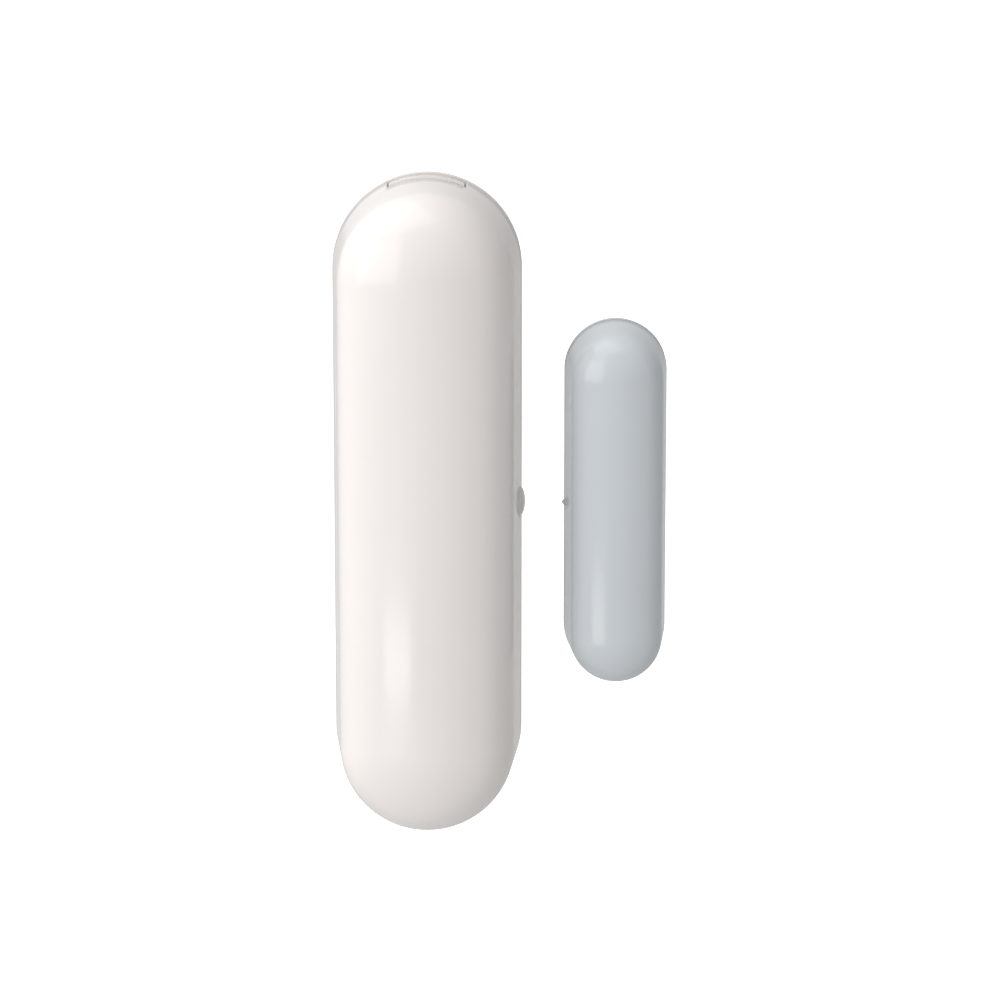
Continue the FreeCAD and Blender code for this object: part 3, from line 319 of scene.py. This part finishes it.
def cut_notch(piece, housing, above):
    """Cuts the latch's notch through the cover's upper end and closes its three sides."""
    half, front = housing.notch_half, housing.notch_front
    edit()

    def near(face):
        at = middle(face)
        return at.z > above and at.y > -front - MM

    for point, normal in (((half, 0, 0), (1, 0, 0)), ((-half, 0, 0), (1, 0, 0)), ((0, -front, 0), (0, 1, 0))):
        pick("FACE", near)
        bpy.ops.mesh.bisect(plane_co=point, plane_no=normal)
    pick("FACE", lambda f: middle(f).z > above and abs(middle(f).x) < half and middle(f).y > -front)
    bpy.ops.mesh.delete(type="FACE")

    def open_side(edge):
        on_rim = all(v.co.y > -housing.main_parting - RIM_SLACK for v in edge.verts)
        return len(edge.link_faces) == 1 and not on_rim

    pick("EDGE", open_side)
    bpy.ops.mesh.bridge_edge_loops()
    done()


def raised(piece, side, point, height, reach, falloff, cells):
    """Raises a small mark from the outside of a cover's side wall, out of a finer patch of faces."""
    patch = PATCH * reach

    def on_side(face):
        return side * face.normal.x > SIDE_FACING and abs(middle(face).y - point.y) < 2 * patch

    edit()
    for z in (-patch, patch):
        pick("FACE", on_side)
        bpy.ops.mesh.bisect(plane_co=(0, 0, z), plane_no=(0, 0, 1))
    for y in (point.y - patch, point.y + patch):
        pick("FACE", lambda f: on_side(f) and abs(middle(f).z) < patch)
        bpy.ops.mesh.bisect(plane_co=(0, y, 0), plane_no=(0, 1, 0))
    pick("FACE", lambda f: on_side(f) and abs(middle(f).z) < patch and abs(middle(f).y - point.y) < patch)
    bpy.ops.mesh.subdivide(number_cuts=cells)
    bm = bmesh.from_edit_mesh(piece.data)
    tip = min(bm.verts, key=lambda v: (v.co - point).length)
    spot = tip.index
    pick("VERT", lambda v: v.index == spot)
    bpy.ops.transform.translate(value=(side * height, 0, 0), use_proportional_edit=True,
                                use_proportional_connected=True, proportional_edit_falloff=falloff,
                                proportional_size=reach)
    done()


def padded_block(name, node, corner, edge, cells=10):
    """A soft block in the place of a CAD node, with round corners on its broad side and soft edges."""
    low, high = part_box(node)
    size = high - low
    clear_selection()
    bpy.ops.mesh.primitive_cube_add(size=1, location=(low + high) / 2, scale=size)
    piece = placed(name)
    edit()
    pick("EDGE", lambda e: abs(e.verts[0].co.y - e.verts[1].co.y) > size.y / 2)
    bpy.ops.mesh.bevel(offset=corner, segments=6, affect="EDGES")
    step = size.z / cells
    for k in range(1, cells):
        bpy.ops.mesh.select_all(action="SELECT")
        bpy.ops.mesh.bisect(plane_co=(0, 0, low.z + k * step), plane_no=(0, 0, 1))
    done()
    softened(piece, edge, 3, 60)
    return piece


def finished(piece, body, material, replaces=()):
    """Gives a piece its finish and its body, and hides the CAD nodes that it stands for."""
    piece.data.materials.clear()
    piece.data.materials.append(bpy.data.materials[material])
    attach(piece, body)
    if replaces:
        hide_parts(*replaces)


# ---------------------------------------------------------------- finishes


class Recipe:
    """A material being mixed: short names for adding and joining its nodes."""

    def __init__(self, name):
        self.material = bpy.data.materials.new(name)
        self.material.use_nodes = True
        self.tree = self.material.node_tree
        self.shader = self.tree.nodes["Principled BSDF"]
        self.place = self.tree.nodes.new("ShaderNodeTexCoord").outputs["Object"]

    def add(self, kind, inputs=None, **settings):
        node = self.tree.nodes.new("ShaderNode" + kind)
        for name, value in settings.items():
            setattr(node, name, value)
        for name, value in (inputs or {}).items():
            self.put(node.inputs[name], value)
        return node

    def put(self, socket, value):
        if isinstance(value, bpy.types.NodeSocket):
            self.tree.links.new(value, socket)
        else:
            socket.default_value = value

    def stretched(self, scale):
        return self.add("Mapping", {"Vector": self.place, "Scale": scale}).outputs["Vector"]

    def noise(self, scale, detail=2.0, rough=0.5, vector=None):
        return self.add("TexNoise", {"Vector": vector or self.place, "Scale": scale, "Detail": detail,
                                     "Roughness": rough}).outputs["Fac"]

    def ramp(self, value, stops, hard=False):
        node = self.add("ValToRGB", {"Fac": value})
        node.color_ramp.interpolation = "CONSTANT" if hard else "LINEAR"
        while len(node.color_ramp.elements) < len(stops):
            node.color_ramp.elements.new(0.5)
        for element, (position, tone) in zip(node.color_ramp.elements, stops):
            element.position = position
            element.color = (*tone, 1) if len(tone) == 3 else tone
        return node.outputs["Color"]

    def span(self, value, low, high):
        return self.add("MapRange", {"Value": value, "From Min": 0.25, "From Max": 0.75,
                                     "To Min": low, "To Max": high}).outputs["Result"]

    def mix(self, factor, first, second, blend="MIX"):
        node = self.add("MixRGB", {"Fac": factor}, blend_type=blend)
        self.put(node.inputs[1], (*first, 1) if isinstance(first, tuple) else first)
        self.put(node.inputs[2], (*second, 1) if isinstance(second, tuple) else second)
        return node.outputs["Color"]

    def bump(self, height, distance, strength=1.0, under=None):
        node = self.add("Bump", {"Height": height, "Distance": distance, "Strength": strength})
        if under:
            self.put(node.inputs["Normal"], under)
        return node.outputs["Normal"]


def shade(tone, factor):
    """A colour made lighter or darker."""
    return tuple(min(1.0, c * factor) for c in tone)


def moulded_gloss(name, tone, rough=(0.1, 0.16), mottle=0.985):
    """Polished injection-moulded plastic: faint flow marks, fine orange peel and a few handling scuffs."""
    r = Recipe(name)
    flow = r.noise(90, 3, vector=r.stretched((1, 1, 0.35)))
    r.put(r.shader.inputs["Base Color"], r.ramp(flow, ((0.3, shade(tone, mottle)), (0.7, tone))))
    scuff = r.noise(420, 6, 0.65, r.stretched((1, 1, 0.22)))
    r.put(r.shader.inputs["Roughness"], r.span(scuff, *rough))
    peel = r.bump(r.noise(1500, 2), 0.004 * MM, 0.35)
    r.put(r.shader.inputs["Normal"], r.bump(r.noise(7000, 3), 0.0012 * MM, 0.3, peel))
    r.shader.inputs["IOR"].default_value = 1.5
    return r.material


def spark_texture(name, tone, rough, grain, depth, metal=0.0, spread=0.12):
    """A finely textured surface, such as a moulded back, a switch case or a plated part."""
    r = Recipe(name)
    cloud = r.noise(grain * 0.08, 4, 0.6)
    tones = ((0.3, shade(tone, 1 - spread)), (0.7, shade(tone, 1 + spread)))
    r.put(r.shader.inputs["Base Color"], r.ramp(cloud, tones))
    fine = r.noise(grain, 4, 0.6)
    r.put(r.shader.inputs["Roughness"], r.span(fine, *rough))
    r.put(r.shader.inputs["Normal"], r.bump(fine, depth))
    r.shader.inputs["Metallic"].default_value = metal
    return r.material


def brushed_metal(name, tone, rough, stretch, depth=0.003 * MM):
    """Drawn, rolled or plated metal with fine lines along one way and faint stains."""
    r = Recipe(name)
    lines = r.noise(2600, 5, 0.6, r.stretched(stretch))
    stain = r.noise(260, 4, 0.6)
    worn = r.mix(r.span(lines, 0, 1), shade(tone, 0.82), tone)
    r.put(r.shader.inputs["Base Color"], r.mix(r.span(stain, 0, 0.35), worn, shade(tone, 0.7)))
    r.put(r.shader.inputs["Roughness"], r.span(lines, *rough))
    r.put(r.shader.inputs["Normal"], r.bump(lines, depth))
    r.shader.inputs["Metallic"].default_value = 1.0
    return r.material


def foam(name, tone, cell, depth):
    """Closed-cell foam with round pores of two sizes."""
    r = Recipe(name)
    pores = r.add("TexVoronoi", {"Vector": r.place, "Scale": cell}).outputs["Distance"]
    small = r.add("TexVoronoi", {"Vector": r.place, "Scale": cell * 2.7}).outputs["Distance"]
    both = r.mix(0.4, pores, small)
    r.put(r.shader.inputs["Base Color"], r.ramp(both, ((0.05, shade(tone, 0.72)), (0.45, tone))))
    r.put(r.shader.inputs["Roughness"], r.span(both, 0.85, 0.98))
    r.put(r.shader.inputs["Normal"], r.bump(both, depth))
    return r.material


def solder_mask(name, tone):
    """A lacquered circuit board with raised tracks and small plated holes."""
    r = Recipe(name)
    tracks = r.add("TexBrick", {"Vector": r.stretched((1, 1, 1)), "Scale": 420.0, "Mortar Size": 0.035,
                                "Color1": (0, 0, 0, 1), "Color2": (0.12, 0.12, 0.12, 1),
                                "Mortar": (1, 1, 1, 1)}).outputs["Color"]
    turned_place = r.add("Mapping", {"Vector": r.place, "Rotation": (math.pi / 2, 0, 0)}).outputs["Vector"]
    r.put(tracks.node.inputs["Vector"], turned_place)
    dots = r.add("TexVoronoi", {"Vector": turned_place, "Scale": 330.0}).outputs["Distance"]
    hole = r.ramp(dots, ((0.0, (1, 1, 1)), (0.1, (0, 0, 0))), hard=True)
    lacquer = r.mix(tracks, shade(tone, 0.8), shade(tone, 2.1))
    r.put(r.shader.inputs["Base Color"], r.mix(hole, lacquer, (0.62, 0.52, 0.30)))
    r.put(r.shader.inputs["Roughness"], r.span(r.noise(1200, 4), 0.28, 0.42))
    r.put(r.shader.inputs["Normal"], r.bump(tracks, 0.02 * MM))
    return r.material


def printed_sleeve(name, tone):
    """Glossy shrink film in two colours with a plain band and fine wrinkles."""
    r = Recipe(name)
    height = r.add("SeparateXYZ", {"Vector": r.place}).outputs["Z"]
    level = r.add("MapRange", {"Value": height, "From Min": -33.5 * MM, "From Max": -6.5 * MM})
    band = r.ramp(level.outputs["Result"], ((0, tone), (0.62, (0.55, 0.42, 0.12)), (0.7, tone)), hard=True)
    r.put(r.shader.inputs["Base Color"], r.mix(r.span(r.noise(500, 3), 0, 0.15), band, shade(tone, 0.6)))
    r.put(r.shader.inputs["Roughness"], r.span(r.noise(900, 3), 0.2, 0.34))
    r.put(r.shader.inputs["Normal"], r.bump(r.noise(800, 3, vector=r.stretched((1, 1, 0.1))), 0.02 * MM, 0.5))
    return r.material


def clear_glass(name):
    """Green-tinted glass of the reed tube, with faint drawing lines."""
    r = Recipe(name)
    lines = r.noise(2400, 2, vector=r.stretched((1, 1, 0.05)))
    tones = ((0.3, (0.62, 0.86, 0.70)), (0.7, (0.74, 0.93, 0.80)))
    r.put(r.shader.inputs["Base Color"], r.ramp(lines, tones))
    r.put(r.shader.inputs["Roughness"], r.span(lines, 0.02, 0.08))
    r.shader.inputs["Transmission Weight"].default_value = 0.85
    r.shader.inputs["IOR"].default_value = 1.49
    return r.material


def make_finishes(colours):
    """Mixes every material of the sensor, under the name that its pieces use."""
    cover, magnet = tuple(colours.cover), tuple(colours.magnet)
    moulded_gloss("cover_gloss", cover)
    moulded_gloss("magnet_gloss", magnet)
    spark_texture("base_plastic", shade(cover, 0.93), (0.38, 0.52), 3500, 0.006 * MM, spread=0.02)
    spark_texture("magnet_base_plastic", shade(magnet, 0.9), (0.38, 0.52), 3500, 0.006 * MM, spread=0.03)
    foam("tape_foam", tuple(colours.tape), 3200, 0.05 * MM)
    foam("packing_foam", (0.07, 0.075, 0.08), 1500, 0.12 * MM)
    solder_mask("board_lacquer", tuple(colours.board))
    printed_sleeve("sleeve_film", tuple(colours.sleeve))
    clear_glass("reed_glass")
    brushed_metal("plated_steel", (0.60, 0.58, 0.55), (0.22, 0.4), (1, 1, 0.1))
    brushed_metal("zinc_screw", (0.55, 0.56, 0.58), (0.25, 0.42), (1, 0.15, 1))
    brushed_metal("nickel_strip", (0.66, 0.62, 0.54), (0.2, 0.36), (1, 1, 0.12))
    brushed_metal("reed_alloy", (0.48, 0.46, 0.44), (0.3, 0.45), (1, 1, 0.08))
    brushed_metal("shield_tin", (0.70, 0.71, 0.72), (0.24, 0.4), (0.1, 1, 1))
    brushed_metal("copper_antenna", (0.80, 0.62, 0.30), (0.25, 0.4), (1, 1, 0.15))
    brushed_metal("capacitor_can", (0.62, 0.64, 0.67), (0.25, 0.38), (1, 0.1, 1))
    spark_texture("chip_epoxy", (0.018, 0.018, 0.02), (0.45, 0.6), 5200, 0.006 * MM, spread=0.25)
    spark_texture("switch_nylon", (0.022, 0.022, 0.024), (0.35, 0.5), 4200, 0.005 * MM, spread=0.2)
    spark_texture("button_nylon", (0.30, 0.31, 0.32), (0.35, 0.5), 4200, 0.005 * MM, spread=0.08)
    spark_texture("gasket_rubber", (0.035, 0.035, 0.04), (0.5, 0.7), 3000, 0.01 * MM, spread=0.2)
    spark_texture("led_lens", (0.75, 0.74, 0.66), (0.12, 0.2), 2500, 0.003 * MM, spread=0.05)
    spark_texture("ferrite", (0.035, 0.034, 0.036), (0.42, 0.62), 2800, 0.02 * MM, metal=0.35, spread=0.3)


# finishes of single CAD nodes, and of every other node by its material slot
CAD_FINISHES = {"tamper_spring": "plated_steel", "negative_spring": "plated_steel"}
SLOT_FINISHES = {
    "reed_metal": "reed_alloy", "cell_steel": "plated_steel", "cell_gasket": "gasket_rubber",
    "contact_nickel": "nickel_strip", "chip_black": "chip_epoxy", "switch_black": "switch_nylon",
    "capacitor_can": "capacitor_can", "shield_tin": "shield_tin", "antenna_metal": "copper_antenna",
    "led_body": "led_lens", "button_plastic": "button_nylon", "screw_steel": "zinc_screw",
    "cover_white": "cover_gloss", "base_white": "base_plastic", "magnet_grey": "magnet_gloss",
    "magnet_base_grey": "magnet_base_plastic", "tape_foam": "tape_foam", "packing_foam": "packing_foam",
    "board_green": "board_lacquer", "reed_tube": "reed_glass", "cell_sleeve": "sleeve_film",
    "magnet_ferrite": "ferrite",
}


# ---------------------------------------------------------------- one operator for each piece


class SENSOR_OT_finishes(bpy.types.Operator):
    """Mixes the materials and gives every CAD node its own"""

    bl_idname = "sensor.finishes"
    bl_label = "Finishes"

    def execute(self, context):
        make_finishes(context.scene.sensor_colours)
        for part in frame["record"]["subparts"]:
            mesh = frame["nodes"][part["node"]].data
            finish = CAD_FINISHES.get(part["node"], SLOT_FINISHES[part["material_slot"]])
            mesh.materials.clear()
            mesh.materials.append(bpy.data.materials[finish])
        return {"FINISHED"}


class SENSOR_OT_front_cover(bpy.types.Operator):
    """Models the long domed cover with its latch notch and alignment mark"""

    bl_idname = "sensor.front_cover"
    bl_label = "Front cover"

    def execute(self, context):
        housing = context.scene.sensor_housing
        base_low, base_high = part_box("rear_base")
        depth = -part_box("front_cover")[0].y
        half = base_high.x
        straight = base_high.z - base_low.z - 2 * half
        section = dome_section(half, housing.main_parting, depth, housing.main_edge, housing.main_crown,
                               housing.draft)
        cover = domed_cover("front_cover_shell", 0, straight, section, housing.main_wall)
        cut_notch(cover, housing, straight / 2 + housing.notch_start)
        softened(cover, housing.softening)
        level = housing.mark_level
        side = half - (level - housing.main_parting) * math.tan(housing.draft)
        raised(cover, 1, Vector((side, -level, 0)), housing.mark_height, housing.mark_reach, "SPHERE", 22)
        smooth(cover)
        finished(cover, "cover", "cover_gloss", ["front_cover"])
        return {"FINISHED"}


class SENSOR_OT_magnet_cover(bpy.types.Operator):
    """Models the short domed cover with its pointed mark"""

    bl_idname = "sensor.magnet_cover"
    bl_label = "Magnet cover"

    def execute(self, context):
        housing = context.scene.sensor_housing
        base_low, base_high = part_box("magnet_base")
        middle_x = (base_low.x + base_high.x) / 2
        half = (base_high.x - base_low.x) / 2
        depth = -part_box("magnet_cover")[0].y
        straight = base_high.z - base_low.z - 2 * half
        section = dome_section(half, housing.magnet_parting, depth, housing.magnet_edge,
                               housing.magnet_crown, housing.draft)
        cover = domed_cover("magnet_cover_shell", middle_x, straight, section, housing.magnet_wall)
        softened(cover, housing.softening)
        level = housing.nib_level
        side = half - (level - housing.magnet_parting) * math.tan(housing.draft)
        raised(cover, -1, Vector((middle_x - side, -level, 0)), housing.nib_height, housing.nib_reach,
               "LINEAR", 14)
        smooth(cover)
        finished(cover, "magnet_cap", "magnet_gloss", ["magnet_cover"])
        return {"FINISHED"}


class SENSOR_OT_tapes(bpy.types.Operator):
    """Models the foam tape behind each housing and the foam that holds the magnet"""

    bl_idname = "sensor.tapes"
    bl_label = "Tape and foam"

    def execute(self, context):
        inside = context.scene.sensor_inside
        for name, node, body in (("sensor_tape", "adhesive_pad", "sensor"),
                                 ("magnet_tape", "magnet_adhesive_pad", "magnet")):
            tape = padded_block(name, node, inside.tape_corner, inside.tape_edge)
            smooth(tape)
            finished(tape, body, "tape_foam", [node])
        packing = padded_block("magnet_packing", "magnet_foam", inside.foam_corner, inside.foam_edge)
        smooth(packing)
        finished(packing, "magnet", "packing_foam", ["magnet_foam"])
        return {"FINISHED"}


class SENSOR_OT_battery(bpy.types.Operator):
    """Models the lithium cell: its rolled can, its printed sleeve and its stepped cap"""

    bl_idname = "sensor.battery"
    bl_label = "Battery"

    def execute(self, context):
        inside = context.scene.sensor_inside
        can_low, can_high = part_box("battery_can")
        centre = (0, (can_low.y + can_high.y) / 2)
        can = self.can(inside, can_high.x, can_low.z, can_high.z)
        sleeve = self.sleeve(inside, *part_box("battery_sleeve"))
        cap = self.cap(*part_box("battery_cap"))
        for name, slot, finish, node, section, steps in (
                ("cell_can", "cell_steel", "plated_steel", "battery_can", can, ROUND_STEPS),
                ("cell_sleeve", "cell_sleeve", "sleeve_film", "battery_sleeve", sleeve, ROUND_STEPS),
                ("cell_cap", "cell_steel", "plated_steel", "battery_cap", cap, CAP_STEPS)):
            piece = turned(name, section, centre, steps)
            smooth(piece, 45)
            finished(piece, "sensor", finish, [node])
        return {"FINISHED"}

    def can(self, inside, radius, foot, head):
        """Half section of the can: its dished foot, its wall with the rolled groove and its shoulder."""
        corner, neck, half = inside.can_corner, inside.neck_depth, inside.neck_half
        arc = [(math.sin(k * math.pi / 12), math.cos(k * math.pi / 12)) for k in range(7)]
        groove = head - inside.neck_drop
        dish = foot + inside.can_dish
        section = [(0, dish), (0.55 * radius, dish), (0.6 * radius, foot)]
        section += [(radius - corner + corner * a, foot + corner - corner * b) for a, b in arc]
        section += [(radius - neck * deep, groove + half * way)
                    for deep, way in ((0, -1), (0.7, -0.4), (1, 0), (0.7, 0.4), (0, 1))]
        section += [(radius - corner + corner * b, head - corner + corner * a) for a, b in arc]
        return section + [(0, head)]

    def sleeve(self, inside, low, high):
        """Closed section of the sleeve, whose ends curl in round the can."""
        outer, lip, curl = high.x, inside.sleeve_lip, inside.sleeve_curl
        inner = outer - inside.sleeve_film
        upper = [(inner, high.z - lip), (inner - 1.1 * curl, high.z - 0.1 * lip), (inner - curl, high.z),
                 (outer - 0.5 * curl, high.z - lip / 6), (outer, high.z - lip)]
        lower = [(outer, low.z + lip), (outer - 0.5 * curl, low.z + lip / 6), (inner - curl, low.z),
                 (inner - 1.1 * curl, low.z + 0.1 * lip), (inner, low.z + lip)]
        return lower[-1:] + upper + lower

    def cap(self, low, high):
        """Half section of the stepped cap, as insets from its rim and levels up its height."""
        rim, height = high.x, high.z - low.z
        steps = ((0, 0.2), (0.25, 0.333), (0.55, 0.767), (0.85, 0.947), (1.2, 1))
        section = [(0, low.z), (rim, low.z)]
        section += [(rim - inset * MM, low.z + level * height) for inset, level in steps]
        dish = low.z + 0.947 * height
        return section + [(0.3 * rim, high.z), (0.2 * rim, dish), (0, dish)]


class SENSOR_OT_bar_magnet(bpy.types.Operator):
    """Models the sintered bar magnet with its ground chamfers"""

    bl_idname = "sensor.bar_magnet"
    bl_label = "Bar magnet"

    def execute(self, context):
        low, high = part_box("bar_magnet")
        clear_selection()
        bpy.ops.mesh.primitive_cube_add(size=1, location=(low + high) / 2, scale=high - low)
        magnet = placed("ferrite_bar")
        softened(magnet, context.scene.sensor_inside.magnet_bevel, 2, 30)
        smooth(magnet, 30)
        finished(magnet, "magnet", "ferrite", ["bar_magnet"])
        return {"FINISHED"}


FLOOR_DROP = 60 * MM  # from the sensor's lower end to the floor
SENSOR_WIDTH = 36  # of the camera, in millimetres
BRIGHT_SIDE = (-0.66, 0.1, 0.74)  # the way to the brightest part of the surroundings
SOFT_LIGHTS = (  # name, place, width and height in metres, and shape
    ("key_left", (-0.98, -0.90, 0.16), 1.3, 1.3, "RECTANGLE"),
    ("top_left", (-0.50, -0.22, 1.15), 1.8, 1.2, "RECTANGLE"),
    ("low_strip", (-0.111, -0.266, -0.086), 0.12, 0.017, "ELLIPSE"),
)


class SENSOR_OT_stage(bpy.types.Operator):
    """Sets the pale floor, the soft lights and the camera"""

    bl_idname = "sensor.stage"
    bl_label = "Stage"

    def execute(self, context):
        studio = context.scene.sensor_studio
        centre = (CAD_BOX[0] + CAD_BOX[1]) / 2 + Vector((0, 0, studio.aim))
        self.floor()
        self.world(context, studio)
        powers = {"key_left": studio.key, "top_left": studio.top, "low_strip": studio.strip}
        for name, place, width, height, shape in SOFT_LIGHTS:
            self.soft_light(name, centre, place, width, height, powers[name], shape)
        self.camera(context, studio, centre)
        context.scene.view_settings.view_transform = "Standard"
        return {"FINISHED"}

    def floor(self):
        """A plain floor that the camera sees as white."""
        clear_selection()
        bpy.ops.mesh.primitive_plane_add(size=8, location=(0, 0, CAD_BOX[0].z - FLOOR_DROP))
        floor = placed("studio_floor")
        r = Recipe("studio_floor")
        tones = ((0.3, (0.5, 0.5, 0.5)), (0.7, (0.55, 0.55, 0.55)))
        r.put(r.shader.inputs["Base Color"], r.ramp(r.noise(1.5, 2), tones))
        r.shader.inputs["Roughness"].default_value = 0.9
        r.shader.inputs["Emission Color"].default_value = (1, 1, 1, 1)
        seen = r.add("LightPath").outputs["Is Camera Ray"]
        glow = r.add("MapRange", {"Value": seen, "To Min": 0.05, "To Max": 1.0}).outputs["Result"]
        r.put(r.shader.inputs["Emission Strength"], glow)
        floor.data.materials.append(r.material)

    def world(self, context, studio):
        """White to the camera; as a light it is brightest from above on the left."""
        world = bpy.data.worlds.new("studio")
        context.scene.world = world
        world.use_nodes = True
        tree = world.node_tree
        way = tree.nodes.new("ShaderNodeTexCoord").outputs["Generated"]
        side = tree.nodes.new("ShaderNodeVectorMath")
        side.operation = "DOT_PRODUCT"
        side.inputs[1].default_value = BRIGHT_SIDE
        glow = tree.nodes.new("ShaderNodeMapRange")
        glow.inputs["From Min"].default_value = -1.0
        glow.inputs["To Min"].default_value = 0.1 * studio.ambient
        glow.inputs["To Max"].default_value = 2.6 * studio.ambient
        strength = tree.nodes.new("ShaderNodeMapRange")
        strength.inputs["To Max"].default_value = 1.0
        seen = tree.nodes.new("ShaderNodeLightPath").outputs["Is Camera Ray"]
        background = tree.nodes["Background"]
        background.inputs["Color"].default_value = (1, 1, 1, 1)
        for output, socket in ((way, side.inputs[0]), (side.outputs["Value"], glow.inputs["Value"]),
                               (glow.outputs["Result"], strength.inputs["To Min"]),
                               (seen, strength.inputs["Value"]),
                               (strength.outputs["Result"], background.inputs["Strength"])):
            tree.links.new(output, socket)

    def camera(self, context, studio, centre):
        """Looks at the sensor from the chosen angle, and sees the chosen width there."""
        camera = bpy.data.objects.new("camera", bpy.data.cameras.new("camera"))
        context.scene.collection.objects.link(camera)
        level = math.cos(studio.elevation)
        back = Vector((math.sin(studio.azimuth) * level, -math.cos(studio.azimuth) * level,
                       math.sin(studio.elevation)))
        camera.location = centre + studio.distance * back
        camera.rotation_euler = (-back).to_track_quat("-Z", "Y").to_euler()
        camera.data.sensor_width = SENSOR_WIDTH
        camera.data.lens = SENSOR_WIDTH * studio.distance / studio.field
        camera.data.clip_start = 10 * MM
        context.scene.camera = camera

    def soft_light(self, name, target, place, width, height, power, shape):
        """A soft box that points at the sensor."""
        data = bpy.data.lights.new(name, "AREA")
        data.shape = shape
        data.size, data.size_y, data.energy = width, height, power
        light = bpy.data.objects.new(name, data)
        bpy.context.scene.collection.objects.link(light)
        light.location = place
        light.rotation_euler = (target - light.location).to_track_quat("-Z", "Y").to_euler()


# ---------------------------------------------------------------- panel and start


class SENSOR_PT_panel(bpy.types.Panel):
    """Lists the sensor's sizes, colours and pieces"""

    bl_idname = "SENSOR_PT_panel"
    bl_label = "Door contact sensor"
    bl_space_type = "VIEW_3D"
    bl_region_type = "UI"
    bl_category = "Sensor"

    def draw(self, context):
        layout = self.layout
        for group in GROUPS:
            holder = getattr(context.scene, group)
            box = layout.box()
            for name in holder.__annotations__:
                box.prop(holder, name)
        for operator in OPERATORS:
            layout.operator(operator.bl_idname)


GROUPS = {"sensor_housing": SensorHousing, "sensor_inside": SensorInside, "sensor_colours": SensorColours,
          "sensor_studio": SensorStudio}
OPERATORS = (SENSOR_OT_finishes, SENSOR_OT_front_cover, SENSOR_OT_magnet_cover, SENSOR_OT_tapes,
             SENSOR_OT_battery, SENSOR_OT_bar_magnet, SENSOR_OT_stage)


def register():
    for group, kind in GROUPS.items():
        bpy.utils.register_class(kind)
        setattr(bpy.types.Scene, group, bpy.props.PointerProperty(type=kind))
    for kind in (*OPERATORS, SENSOR_PT_panel):
        bpy.utils.register_class(kind)


def unregister():
    for kind in (SENSOR_PT_panel, *reversed(OPERATORS)):
        bpy.utils.unregister_class(kind)
    for group, kind in reversed(GROUPS.items()):
        delattr(bpy.types.Scene, group)
        bpy.utils.unregister_class(kind)


def main():
    register()
    for operator in OPERATORS:
        group, call = operator.bl_idname.split(".")
        getattr(getattr(bpy.ops, group), call)()


if __name__ == "__main__":
    main()
